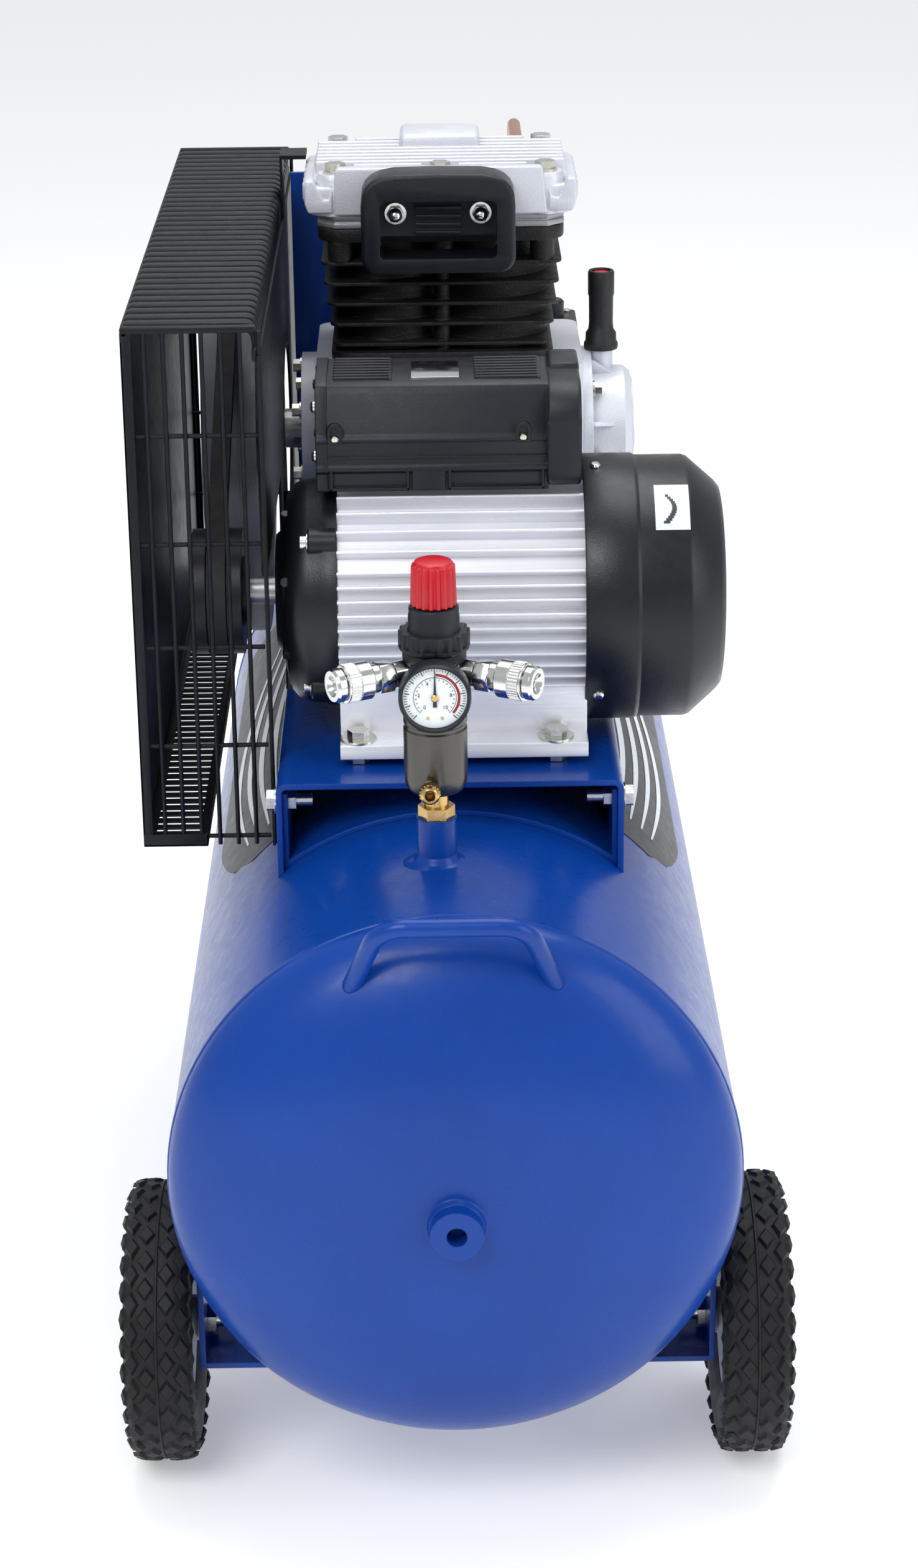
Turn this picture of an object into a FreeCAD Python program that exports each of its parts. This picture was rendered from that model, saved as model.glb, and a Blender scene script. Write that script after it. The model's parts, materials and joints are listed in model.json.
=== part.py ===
import FreeCAD, Part
import Sketcher
import math
import os
import re

# Belt-driven twin-cylinder air compressor on a horizontal wheeled receiver.
# Millimetres, +Z up. X runs across, Y runs along the receiver, and the regulator end faces -Y.
# The origin is on the floor, below the middle of the receiver.

os.makedirs("parts", exist_ok=True)
doc = FreeCAD.newDocument("air_compressor")

DIMENSIONS = {
    # receiver
    "tank_radius": 185, "tank_wall": 4, "shell_half": 425, "dome_depth": 66, "tank_axis": 250,
    "boss_radius": 17, "boss_length": 14, "boss_bore": 6.5,
    "bung_radius": 13, "bung_height": 30, "bung_bore": 6.5,
    # running gear
    "wheel_radius": 96, "wheel_width": 46, "wheel_track": 199, "wheel_place": -335,
    "rim_radius": 56, "axle_radius": 6, "running_gap": 0.05, "bracket_sheet": 4,
    "bracket_face": 172, "bracket_half": 40, "bracket_low": 80,
    "foot_place": 335, "foot_spread": 140, "foot_height": 30, "foot_radius": 21,
    # saddle
    "saddle_half": 116, "saddle_top": 461, "saddle_front": -268, "saddle_rear": 362, "sheet": 4,
    "cradle_sheet": 3.5, "cradle_depth": 60, "side_bolt_z": 443, "side_bolt_inset": 18,
    # bolts
    "bolt_radius": 4, "bolt_head": 7.5, "bolt_head_height": 5.5, "washer_radius": 9, "washer": 1.6,
    # motor
    "motor_y": -147, "motor_z": 557, "housing_left": -73, "housing_right": 94,
    "housing_radius": 80, "fin_tip": 87, "stator_radius": 70, "rotor_radius": 43, "air_gap": 0.5,
    "motor_shaft": 9.5, "motor_bearing": 20, "motor_shaft_left": -176,
    "foot_half": 92, "foot_low": 467, "foot_sheet": 10,
    "bell_radius": 79, "bell_left": -116, "cowl_radius": 91, "cowl_left": 92, "cowl_right": 190,
    "cowl_sheet": 2, "cowl_face": 71, "fan_radius": 78, "foot_bolt_y": 80,
    # control box on the motor
    "box_left": -86, "box_right": 96, "box_low": 645, "box_top": 713, "box_depth": 45, "box_wall": 3,
    # belt drive
    "belt_plane": -156, "belt_half": 6.5, "belt_thick": 8, "groove_gap": 0.6,
    "flywheel_radius": 155, "flywheel_half": 20, "pulley_radius": 43, "pulley_half": 17,
    # pump
    "crank_y": 165, "crank_z": 585, "bore_pitch": 92, "bore_radius": 32.5, "stroke": 46,
    "rod_length": 118, "piston_gap": 0.08, "journal": 15, "tail_journal": 12,
    "case_bearing": 26, "cover_bearing": 24, "breather_x": 121,
    "case_left": -95, "case_right": 105, "case_half": 72, "case_wall": 11, "case_top": 650,
    "block_top": 752, "plate_top": 762, "head_top": 808, "head_half": 101, "head_depth": 65,
    # guard
    "guard_left": -209, "guard_right": -121, "guard_front": -226, "guard_rear": 375,
    "guard_low": 400, "guard_top": 762, "guard_sheet": 2, "guard_rim": 44, "wire": 3,
    # regulator set
    "reg_x": -9, "reg_y": -336.5, "bowl_low": 483, "bowl_top": 536, "bowl_radius": 20.5,
    "body_top": 580, "collar_top": 593, "neck_top": 609, "knob_top": 638, "knob_radius": 14.8,
    "gauge_z": 559, "gauge_radius": 23, "gauge_reach": 40, "gauge_depth": 17,
    "coupler_z": 567, "coupler_angle": 28, "coupler_reach": 73, "coupler_bore": 4,
    # pressure switch and air lines
    "air_y": 396, "line_x": 60, "switch_x": 92, "switch_low": 532, "switch_top": 612,
    "switch_half": 20, "switch_depth": 29, "line_radius": 5, "line_bend": 55, "port_z": 782,
    # handles
    "handle_radius": 6,
}

sheet = doc.addObject("Spreadsheet::Sheet", "Dims")
for row, (alias, number) in enumerate(DIMENSIONS.items(), start=1):
    sheet.set(f"A{row}", alias)
    sheet.set(f"B{row}", str(number))
    sheet.setAlias(f"B{row}", alias)
doc.recompute()

AXES = {
    "z": FreeCAD.Rotation(),
    "-z": FreeCAD.Rotation(FreeCAD.Vector(1, 0, 0), 180),
    "x": FreeCAD.Rotation(FreeCAD.Vector(0, 1, 0), 90),
    "-x": FreeCAD.Rotation(FreeCAD.Vector(0, 1, 0), -90),
    "y": FreeCAD.Rotation(FreeCAD.Vector(1, 0, 0), -90),
    "-y": FreeCAD.Rotation(FreeCAD.Vector(1, 0, 0), 90),
}
parts = []


def size(alias):
    """One number of the sheet."""
    return float(sheet.get(alias))


def tied(text):
    """An expression whose names point at the sheet."""
    return re.sub(r"\b([a-z][a-z_]+)\b(?!\()", r"Dims.\1", str(text))


def bind(thing, **sizes):
    for name, text in sizes.items():
        thing.setExpression(name, tied(text))


def set_down(thing, base, axis="z"):
    """Turn local +Z to the axis and bind the place of the local origin."""
    turn = AXES[axis] if isinstance(axis, str) else axis
    thing.Placement = FreeCAD.Placement(FreeCAD.Vector(), turn)
    for letter, text in zip("xyz", base):
        thing.setExpression(f"Placement.Base.{letter}", tied(text))
    return thing


def drum(name, radius, length, base, axis="z"):
    thing = doc.addObject("Part::Cylinder", name)
    bind(thing, Radius=radius, Height=length)
    return set_down(thing, base, axis)


def block(name, sides, corner):
    """A box given by its three sides and its lowest corner."""
    thing = doc.addObject("Part::Box", name)
    bind(thing, Length=sides[0], Width=sides[1], Height=sides[2])
    return set_down(thing, corner)


def hexagon(name, radius, length, base, axis="z"):
    thing = doc.addObject("Part::Prism", name)
    thing.Polygon = 6
    bind(thing, Circumradius=radius, Height=length)
    return set_down(thing, base, axis)


def fuse(name, *pieces):
    thing = doc.addObject("Part::MultiFuse", name)
    thing.Shapes = list(pieces)
    thing.Refine = True
    return thing


def cut(name, base, *tools):
    thing = doc.addObject("Part::Cut", name)
    thing.Base = base
    thing.Tool = tools[0] if len(tools) == 1 else group(name + "_tools", *tools)
    thing.Refine = True
    return thing


def group(name, *pieces):
    thing = doc.addObject("Part::Compound", name)
    thing.Links = list(pieces)
    return thing


def common(name, one, other):
    thing = doc.addObject("Part::Common", name)
    thing.Base = one
    thing.Tool = other
    return thing


def rounded(name, source, radius, direction, test=None):
    """Round the straight edges that run along one direction."""
    doc.recompute()
    chosen = []
    for number, edge in enumerate(source.Shape.Edges, start=1):
        if not isinstance(edge.Curve, Part.Line):
            continue
        along = abs(edge.tangentAt(edge.FirstParameter).dot(direction)) > 0.999
        if along and (test is None or test(edge.CenterOfMass)):
            chosen.append((number, radius, radius))
    thing = doc.addObject("Part::Fillet", name)
    thing.Base = source
    thing.Edges = chosen
    return thing


def loop_sketch(body, role, points, name):
    """A closed outline whose corner places are bound to the sheet."""
    plane = [item for item in body.Origin.OriginFeatures if item.Role == role][0]
    sketch = body.newObject("Sketcher::SketchObject", name)
    sketch.AttachmentSupport = (plane, "")
    sketch.MapMode = "FlatFace"
    count = len(points)
    start = [FreeCAD.Vector(math.cos(i * math.tau / count), math.sin(i * math.tau / count), 0)
             for i in range(count)]
    for i in range(count):
        sketch.addGeometry(Part.LineSegment(start[i], start[(i + 1) % count]), False)
    for i in range(count):
        sketch.addConstraint(Sketcher.Constraint("Coincident", i, 2, (i + 1) % count, 1))
    for i, point in enumerate(points):
        for letter, kind, text in zip("xy", ("DistanceX", "DistanceY"), point):
            place = getattr(start[i], letter)
            number = sketch.addConstraint(Sketcher.Constraint(kind, -1, 1, i, 1, place))
            sketch.renameConstraint(number, f"{letter}{i}")
            sketch.setExpression(f"Constraints.{letter}{i}", tied(text))
    return sketch


def turned(name, profile, base, axis="z"):
    """A turned piece: corners are (radius, height) and the height runs along the axis."""
    body = doc.addObject("PartDesign::Body", name)
    sketch = loop_sketch(body, "XZ_Plane", profile, name + "_profile")
    doc.recompute()
    spin = body.newObject("PartDesign::Revolution", name + "_turned")
    spin.Profile = sketch
    spin.ReferenceAxis = (sketch, ["V_Axis"])
    spin.Angle = 360
    sketch.Visibility = False
    return set_down(body, base, axis)


def around(body, feature, count):
    """Repeat a feature of a turned body round its axis."""
    doc.recompute()
    pattern = body.newObject("PartDesign::PolarPattern", body.Name + "_pattern")
    pattern.Originals = [feature]
    axis = [item for item in body.Origin.OriginFeatures if item.Role == "Z_Axis"][0]
    pattern.Axis = (axis, [""])
    pattern.Angle = 360
    pattern.Occurrences = count
    body.Tip = pattern
    return pattern


def tube(name, points, radius, bend):
    """A round bar along straight runs joined by tangent arcs."""
    corners = [FreeCAD.Vector(*point) for point in points]
    edges = []
    here = corners[0]
    for before, corner, after in zip(corners, corners[1:], corners[2:]):
        inward = (before - corner).normalize()
        outward = (after - corner).normalize()
        half = inward.getAngle(outward) / 2
        reach = bend / math.tan(half)
        middle = (inward + outward).normalize() * (bend / math.sin(half) - bend)
        first, last = corner + inward * reach, corner + outward * reach
        edges.append(Part.LineSegment(here, first).toShape())
        edges.append(Part.Arc(first, corner + middle, last).toShape())
        here = last
    edges.append(Part.LineSegment(here, corners[-1]).toShape())
    path = Part.Wire(edges)
    ring = Part.Wire(Part.makeCircle(radius, corners[0], corners[1] - corners[0]))
    thing = doc.addObject("Part::Feature", name)
    thing.Shape = path.makePipeShell([ring], True, False)
    return thing


def bolt(name, place, axis, length, radius="bolt_radius", head="bolt_head", nuts=()):
    """A hex bolt with its washer and nuts; the place is under the washer and the axis leaves the head."""
    turn = AXES[axis]
    out = turn.multVec(FreeCAD.Vector(0, 0, 1))

    def shifted(distance):
        return [f"{text} + ({distance}) * {round(step)}" for text, step in zip(place, out)]

    shank = drum(name + "_shank", radius, f"{length} + washer", shifted(f"-({length})"), axis)
    top = hexagon(name + "_head", head, "bolt_head_height", shifted("washer"), axis)
    ring = drum(name + "_washer", f"{head} + 1.5", "washer", shifted("0"), axis)
    pieces = [fuse(name, shank, top, ring)]
    for number, depth in enumerate(nuts):
        bored = hexagon(f"{name}_nut_body_{number}", head, "bolt_head_height", shifted(f"-{depth}"), axis)
        hole = drum(f"{name}_nut_hole_{number}", radius, "bolt_head_height", shifted(f"-{depth}"), axis)
        pieces.append(cut(f"{name}_nut_{number}", bored, hole))
    return pieces


def keep(name, thing):
    """Make a finished sub-part of an object: its label is the node's name."""
    thing.Label = name
    parts.append((name, thing))
    return thing


def half_dome(name, radius, depth, place, axis):
    thing = doc.addObject("Part::Ellipsoid", name)
    bind(thing, Radius1=depth, Radius2=radius, Radius3=radius)
    thing.Angle1 = 0
    thing.Angle2 = 90
    return set_down(thing, place, axis)


def vessel(name, radius, depth):
    shell = drum(name + "_shell", radius, "2 * shell_half", ("0", "-shell_half", "tank_axis"), "y")
    near = half_dome(name + "_near", radius, depth, ("0", "-shell_half", "tank_axis"), "-y")
    far = half_dome(name + "_far", radius, depth, ("0", "shell_half", "tank_axis"), "y")
    return fuse(name, shell, near, far)


# ---------------------------------------------------------------- receiver
keep("tank", cut("tank_body", vessel("tank_outer", "tank_radius", "dome_depth"),
                 vessel("tank_inner", "tank_radius - tank_wall", "dome_depth - tank_wall")))


def tank_envelope(name):
    return vessel(name, "tank_radius", "dome_depth")


def bung(name, place_x, place_y, top):
    body = drum(name + "_body", "bung_radius", f"({top}) - tank_axis", (place_x, place_y, "tank_axis"))
    hole = drum(name + "_hole", "bung_bore", "40", (place_x, place_y, f"({top}) - 40"))
    return cut(name, body, tank_envelope(name + "_skin"), hole)


def end_boss(name, side):
    axis = "-y" if side < 0 else "y"
    base = ("0", f"{side} * (shell_half + 30)", "tank_axis")
    body = drum(name + "_body", "boss_radius", "dome_depth - 30 + boss_length", base, axis)
    hole = drum(name + "_hole", "boss_bore", "dome_depth + boss_length", base, axis)
    return cut(name, body, tank_envelope(name + "_skin"), hole)


drain_bung = cut("drain_bung",
                 drum("drain_bung_body", "bung_radius", "100", ("0", "0", "tank_axis - tank_radius - 12")),
                 tank_envelope("drain_bung_skin"),
                 drum("drain_bung_hole", "bung_bore", "20", ("0", "0", "tank_axis - tank_radius - 12")))
keep("tank_bungs", group("tank_bungs_all",
                         bung("regulator_bung", "reg_x", "reg_y", "tank_axis + tank_radius + bung_height"),
                         bung("line_bung", "line_x", "air_y", "tank_axis + 187"),
                         bung("switch_bung", "switch_x", "air_y", "tank_axis + 174"),
                         end_boss("near_boss", -1), end_boss("far_boss", 1), drain_bung))

drain_screw = turned("drain_screw_body",
                     [("0", "0"), ("11", "0"), ("11", "10"), ("bung_bore - running_gap", "10"),
                      ("bung_bore - running_gap", "21"), ("0", "21")],
                     ("0", "0", "tank_axis - tank_radius - 22.5"))
keep("drain_screw", drain_screw)


HANDLE_FEET, HANDLE_GRIP = 69, 45
HANDLE_LOW, HANDLE_TOP, HANDLE_BEND = 384, 449, 22


def handle(name, side):
    reach = size("shell_half")
    points = [(-HANDLE_FEET, side * (reach + 20), HANDLE_LOW), (-HANDLE_GRIP, side * (reach + 53), HANDLE_TOP),
              (HANDLE_GRIP, side * (reach + 53), HANDLE_TOP), (HANDLE_FEET, side * (reach + 20), HANDLE_LOW)]
    bar = tube(name + "_bar", points, size("handle_radius"), HANDLE_BEND)
    return cut(name, bar, tank_envelope(name + "_skin"))


keep("carry_handles", group("carry_handles_all", handle("near_handle", -1), handle("far_handle", 1)))


# ---------------------------------------------------------------- running gear
def wheel_bracket(name, side):
    low_x = f"{side} * bracket_face - bracket_sheet / 2"
    upright = block(name + "_upright", ("bracket_sheet", "2 * bracket_half", "110"),
                    (low_x, "wheel_place - bracket_half", "bracket_low"))
    reach = "bracket_face + bracket_sheet / 2 - 70"
    flat_x = "70" if side > 0 else "-bracket_face - bracket_sheet / 2"
    flat = block(name + "_flat", (reach, "2 * bracket_half", "bracket_sheet"),
                 (flat_x, "wheel_place - bracket_half", "bracket_low"))
    hole = drum(name + "_hole", "axle_radius", "20",
                (f"{side} * bracket_face - 10", "wheel_place", "wheel_radius"), "x")
    return cut(name, fuse(name + "_sheet", upright, flat), tank_envelope(name + "_skin"), hole)


keep("wheel_brackets", group("wheel_brackets_all", wheel_bracket("left_bracket", -1),
                             wheel_bracket("right_bracket", 1)))

for side_name, side, axis in (("left", -1, "-x"), ("right", 1, "x")):
    centre = (f"{side} * wheel_track", "wheel_place", "wheel_radius")
    inner = "-wheel_width / 2 + 1"
    outer = "wheel_width / 2 - 8"
    rim = turned(f"rim_{side_name}_turned",
                 [("axle_radius + running_gap", inner), ("16", inner), ("16", "-4"),
                  ("rim_radius - 7", "-4"), ("rim_radius - 10", "-17"), ("rim_radius", "-17"),
                  ("rim_radius", "17"), ("rim_radius - 10", "17"), ("rim_radius - 7", "4"),
                  ("16", "4"), ("16", outer), ("axle_radius + running_gap", outer)], centre, axis)
    keep(f"wheel_rim_{side_name}", rim)
    tyre = turned(f"tyre_{side_name}_turned",
                  [("rim_radius", "-17"), ("rim_radius + 6", "3 - wheel_width / 2"),
                   ("rim_radius + 16", "-wheel_width / 2"), ("wheel_radius - 14", "-wheel_width / 2"),
                   ("wheel_radius - 5", "5 - wheel_width / 2"), ("wheel_radius", "-10"),
                   ("wheel_radius", "10"), ("wheel_radius - 5", "wheel_width / 2 - 5"),
                   ("wheel_radius - 14", "wheel_width / 2"), ("rim_radius + 16", "wheel_width / 2"),
                   ("rim_radius + 6", "wheel_width / 2 - 3"), ("rim_radius", "17")],
                  centre, axis)
    keep(f"tyre_{side_name}", tyre)


def foot_bracket():
    across = block("foot_plate", ("2 * foot_spread + 50", "bracket_sheet", "120"),
                   ("-foot_spread - 25", "foot_place - bracket_sheet / 2", "foot_height"))
    flange = block("foot_flange", ("2 * foot_spread + 50", "50", "bracket_sheet"),
                   ("-foot_spread - 25", "foot_place - 25", "foot_height"))
    whole = fuse("foot_bracket_sheet", across, flange)
    return cut("foot_bracket", whole, tank_envelope("foot_bracket_skin"))


keep("rear_foot_bracket", foot_bracket())
feet = []
for label, side in (("left", -1), ("right", 1)):
    feet.append(turned(f"foot_{label}", [("0", "0"), ("foot_radius", "0"), ("foot_radius", "8"),
                                         ("foot_radius - 5", "foot_height"), ("0", "foot_height")],
                       (f"{side} * foot_spread", "foot_place", "0")))
keep("rubber_feet", group("rubber_feet_all", *feet))


# ---------------------------------------------------------------- saddle
SIDE_BOLT_PLACES = ("saddle_front + side_bolt_inset", "saddle_rear - side_bolt_inset")
HOUSING_FINS = 44
FOOT_BOLTS = [(x, f"motor_y + {row} * foot_bolt_y")
              for x in ("housing_left + 12", "housing_right - 22") for row in (-1, 1)]
PUMP_BOLTS = [(x, f"crank_y + {row} * (case_half + 10)")
              for x in ("case_left + 14", "case_right - 14") for row in (-1, 1)]


def side_bolt_holes(name):
    return [drum(f"{name}_side_hole_{i}", "bolt_radius", "2 * saddle_half + 2",
                 ("-saddle_half - 1", place, "side_bolt_z"), "x")
            for i, place in enumerate(SIDE_BOLT_PLACES)]


def top_holes(name):
    return [drum(f"{name}_top_hole_{i}", "bolt_radius", "sheet + 4", (x, y, "saddle_top - sheet - 2"))
            for i, (x, y) in enumerate(FOOT_BOLTS + PUMP_BOLTS)]


def saddle():
    outer = block("saddle_outer", ("2 * saddle_half", "saddle_rear - saddle_front", "90"),
                  ("-saddle_half", "saddle_front", "saddle_top - 90"))
    outer = rounded("saddle_outer_round", outer, 7, FreeCAD.Vector(0, 1, 0),
                    lambda point: point.z > size("saddle_top") - 10)
    inner = block("saddle_inner", ("2 * (saddle_half - sheet)", "saddle_rear - saddle_front + 20", "90"),
                  ("-saddle_half + sheet", "saddle_front - 10", "saddle_top - 90 - sheet"))
    inner = rounded("saddle_inner_round", inner, 3, FreeCAD.Vector(0, 1, 0),
                    lambda point: point.z > size("saddle_top") - 10)
    return cut("saddle_folded", outer, inner, tank_envelope("saddle_skin"), *side_bolt_holes("saddle"),
               *top_holes("saddle"))


keep("saddle", saddle())


def cradle(name, place):
    """A strap on the receiver whose two legs stand up inside the saddle."""
    strap_out = drum(name + "_strap", "tank_radius + cradle_sheet", "cradle_depth",
                     ("0", place, "tank_axis"), "y")
    frame_high = "side_bolt_z + 9"
    window = block(name + "_window", ("2 * (saddle_half - sheet)", "cradle_depth", f"{frame_high} - 380"),
                   ("-saddle_half + sheet", place, "380"))
    strap = common(name + "_arc", strap_out, window)
    blank = block(name + "_blank", ("2 * (saddle_half - sheet)", "cradle_depth", f"{frame_high} - 380"),
                  ("-saddle_half + sheet", place, "380"))
    hollow = block(name + "_hollow", ("2 * (saddle_half - sheet - cradle_sheet)", "cradle_depth + 2", "100"),
                   ("-saddle_half + sheet + cradle_sheet", f"{place} - 1", "380"))
    legs = cut(name + "_legs", blank, hollow)
    return cut(name, fuse(name + "_bent", strap, legs), tank_envelope(name + "_skin"),
               *side_bolt_holes(name))


keep("saddle_cradles", group("saddle_cradles_all",
                             cradle("front_cradle", "saddle_front + 6"),
                             cradle("rear_cradle", "saddle_rear - 6 - cradle_depth")))


# ---------------------------------------------------------------- motor
def motor_place(along):
    return (along, "motor_y", "motor_z")


def motor_housing():
    barrel = doc.addObject("PartDesign::Body", "barrel")
    ring = loop_sketch(barrel, "XZ_Plane",
                       [("stator_radius", "0"), ("housing_radius", "0"),
                        ("housing_radius", "housing_right - housing_left"),
                        ("stator_radius", "housing_right - housing_left")], "barrel_ring")
    doc.recompute()
    spin = barrel.newObject("PartDesign::Revolution", "barrel_turned")
    spin.Profile = ring
    spin.ReferenceAxis = (ring, ["V_Axis"])
    spin.Angle = 360
    doc.recompute()
    fin = loop_sketch(barrel, "XY_Plane", [("housing_radius - 2", "-1.4"), ("fin_tip", "-1"),
                                           ("fin_tip", "1"), ("housing_radius - 2", "1.4")], "fin_outline")
    doc.recompute()
    pad = barrel.newObject("PartDesign::Pad", "fin_pad")
    pad.Profile = fin
    bind(pad, Length="housing_right - housing_left")
    around(barrel, pad, HOUSING_FINS)
    set_down(barrel, motor_place("housing_left"), "x")
    span = "housing_right - housing_left"
    plinth = block("plinth", (f"{span} - 3", "2 * foot_half - 22", "42"),
                   ("housing_left", "motor_y - foot_half + 11", "foot_low"))
    foot = block("foot_sheet_blank", (f"{span} - 3", "2 * foot_half", "foot_sheet"),
                 ("housing_left", "motor_y - foot_half", "foot_low"))
    bore = drum("housing_bore", "stator_radius", span, motor_place("housing_left"), "x")
    holes = [drum(f"foot_hole_{i}", "bolt_radius", "foot_sheet", (x, y, "foot_low"))
             for i, (x, y) in enumerate(FOOT_BOLTS)]
    tunnels = [drum(f"foot_relief_{i}", "washer_radius + 1.5", "50", (x, y, "foot_low + foot_sheet"))
               for i, (x, y) in enumerate(FOOT_BOLTS)]
    whole = fuse("housing_whole", barrel, plinth, foot)
    return cut("motor_housing_body", whole, bore, *holes, *tunnels)


keep("motor_housing", motor_housing())

keep("motor_end_shield",
     turned("front_bell",
            [("stator_radius", "0"), ("bell_radius", "0"), ("bell_radius", "20"), ("bell_radius - 8", "34"),
             ("40", "housing_left - bell_left"), ("motor_shaft + 1", "housing_left - bell_left"),
             ("motor_shaft + 1", "39"), ("motor_bearing", "39"), ("motor_bearing", "26"), ("60", "26"),
             ("stator_radius", "14")],
            motor_place("housing_left"), "-x"))
keep("motor_rear_shield",
     turned("rear_shield",
            [("motor_bearing", "0"), ("housing_radius", "0"), ("housing_radius", "5"), ("26", "5"),
             ("26", "14"), ("motor_shaft + 1", "14"), ("motor_shaft + 1", "12"), ("motor_bearing", "12")],
            motor_place("housing_right"), "x"))
keep("stator",
     turned("stator_stack",
            [("rotor_radius + air_gap", "0"), ("stator_radius", "0"), ("stator_radius", "118"),
             ("rotor_radius + air_gap", "118")], motor_place("housing_left + 20"), "x"))
keep("motor_rotor", group(
    "motor_rotor_all",
    drum("motor_shaft_bar", "motor_shaft", "150 - motor_shaft_left", motor_place("motor_shaft_left"), "x"),
    turned("rotor_core", [("motor_shaft", "0"), ("rotor_radius", "0"), ("rotor_radius", "110"),
                          ("motor_shaft", "110")], motor_place("housing_left + 24"), "x")))


def cooling_fan():
    body = turned("fan_hub", [("motor_shaft", "0"), ("fan_radius", "0"), ("fan_radius", "3"), ("22", "3"),
                              ("22", "26"), ("motor_shaft", "26")], motor_place("118"), "x")
    doc.recompute()
    blade = loop_sketch(body, "XY_Plane", [("21", "-1.5"), ("fan_radius - 2", "-1.5"),
                                           ("fan_radius - 2", "1.5"), ("21", "1.5")], "blade_outline")
    doc.recompute()
    pad = body.newObject("PartDesign::Pad", "blade_pad")
    pad.Profile = blade
    pad.Length = 26
    around(body, pad, 8)
    return body


keep("cooling_fan", cooling_fan())


def fan_cowl():
    span = "cowl_right - cowl_left"
    shell = turned("cowl_shell",
                   [("cowl_radius", "0"), ("cowl_radius", f"{span} - 27"), ("cowl_face", span),
                    ("0", span), ("0", f"{span} - cowl_sheet"), ("cowl_face - 1", f"{span} - cowl_sheet"),
                    ("cowl_radius - cowl_sheet", f"{span} - 28"), ("cowl_radius - cowl_sheet", "0")],
                   motor_place("cowl_left"), "x")
    slots = []
    for number in range(-5, 6):
        slot_half = math.sqrt(58 ** 2 - (number * 10) ** 2)
        slots.append(block(f"cowl_slot_{number + 5}", ("20", f"{2 * slot_half:.1f}", "5"),
                           ("cowl_right - 10", f"motor_y - {slot_half:.1f}",
                            f"motor_z - 2.5 + {number * 10}")))
    return cut("fan_cowl_shell", shell, *slots)


keep("fan_cowl", fan_cowl())
keep("motor_pulley",
     turned("pulley_turned",
            [("motor_shaft", "-pulley_half - 4"), ("24", "-pulley_half - 4"), ("24", "-pulley_half"),
             ("pulley_radius", "-pulley_half"), ("pulley_radius", "-belt_half - groove_gap"),
             ("pulley_radius - belt_thick - 1.1", "-belt_half - groove_gap"),
             ("pulley_radius - belt_thick - 1.1", "belt_half + groove_gap"),
             ("pulley_radius", "belt_half + groove_gap"), ("pulley_radius", "pulley_half"),
             ("motor_shaft", "pulley_half")], motor_place("belt_plane"), "-x"))


def control_box():
    skirt = block("box_blank", ("box_right - box_left", "2 * box_depth", "box_top - box_low + 7"),
                  ("box_left", "motor_y - box_depth", "box_low - 7"))
    skirt = rounded("box_round", skirt, 14, FreeCAD.Vector(1, 0, 0),
                    lambda point: point.z > size("box_top") - 5)
    hollow = block("box_hollow", ("box_right - box_left - 2 * box_wall", "2 * (box_depth - 6)",
                                  "box_top - box_wall - box_low - 6"),
                   ("box_left + box_wall", "motor_y - box_depth + 6", "box_low + 6"))
    seat = drum("box_seat", "fin_tip + 0.5", "300", motor_place("-150"), "x")
    cowl_seat = drum("box_cowl_seat", "cowl_radius + 0.5", "40", motor_place("cowl_left - 0.5"), "x")
    return cut("control_box_shell", skirt, hollow, seat, cowl_seat)


keep("control_box", control_box())
keep("capacitors", group("capacitors_all", *[
    drum(f"capacitor_{i}", "16", "90", ("box_left + 15", f"motor_y + {s} * 18", "box_low + 30"), "x")
    for i, s in enumerate((-1, 1))]))


# ---------------------------------------------------------------- belt drive
def belt_outline(shrink):
    """Two arcs and two tangent runs round the pulley and the flywheel."""
    small = size("pulley_radius") - 0.5 - shrink
    big = size("flywheel_radius") - 0.5 - shrink
    plane = size("belt_plane") - size("belt_half")
    near = FreeCAD.Vector(plane, size("motor_y"), size("motor_z"))
    far = FreeCAD.Vector(plane, size("crank_y"), size("crank_z"))
    along = (far - near).normalize()
    up = FreeCAD.Vector(1, 0, 0).cross(along)
    lean = (small - big) / far.distanceToPoint(near)
    over = along * lean + up * math.sqrt(1 - lean ** 2)
    under = along * lean - up * math.sqrt(1 - lean ** 2)
    edges = [Part.Arc(near + over * small, near - along * small, near + under * small).toShape(),
             Part.LineSegment(near + under * small, far + under * big).toShape(),
             Part.Arc(far + under * big, far + along * big, far + over * big).toShape(),
             Part.LineSegment(far + over * big, near + over * small).toShape()]
    return Part.Wire(edges)


def drive_belt():
    width = FreeCAD.Vector(2 * size("belt_half"), 0, 0)
    outer = Part.Face(belt_outline(0)).extrude(width)
    inner = Part.Face(belt_outline(size("belt_thick"))).extrude(width)
    thing = doc.addObject("Part::Feature", "belt_loop")
    thing.Shape = outer.cut(inner)
    return thing


keep("drive_belt", drive_belt())


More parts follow.
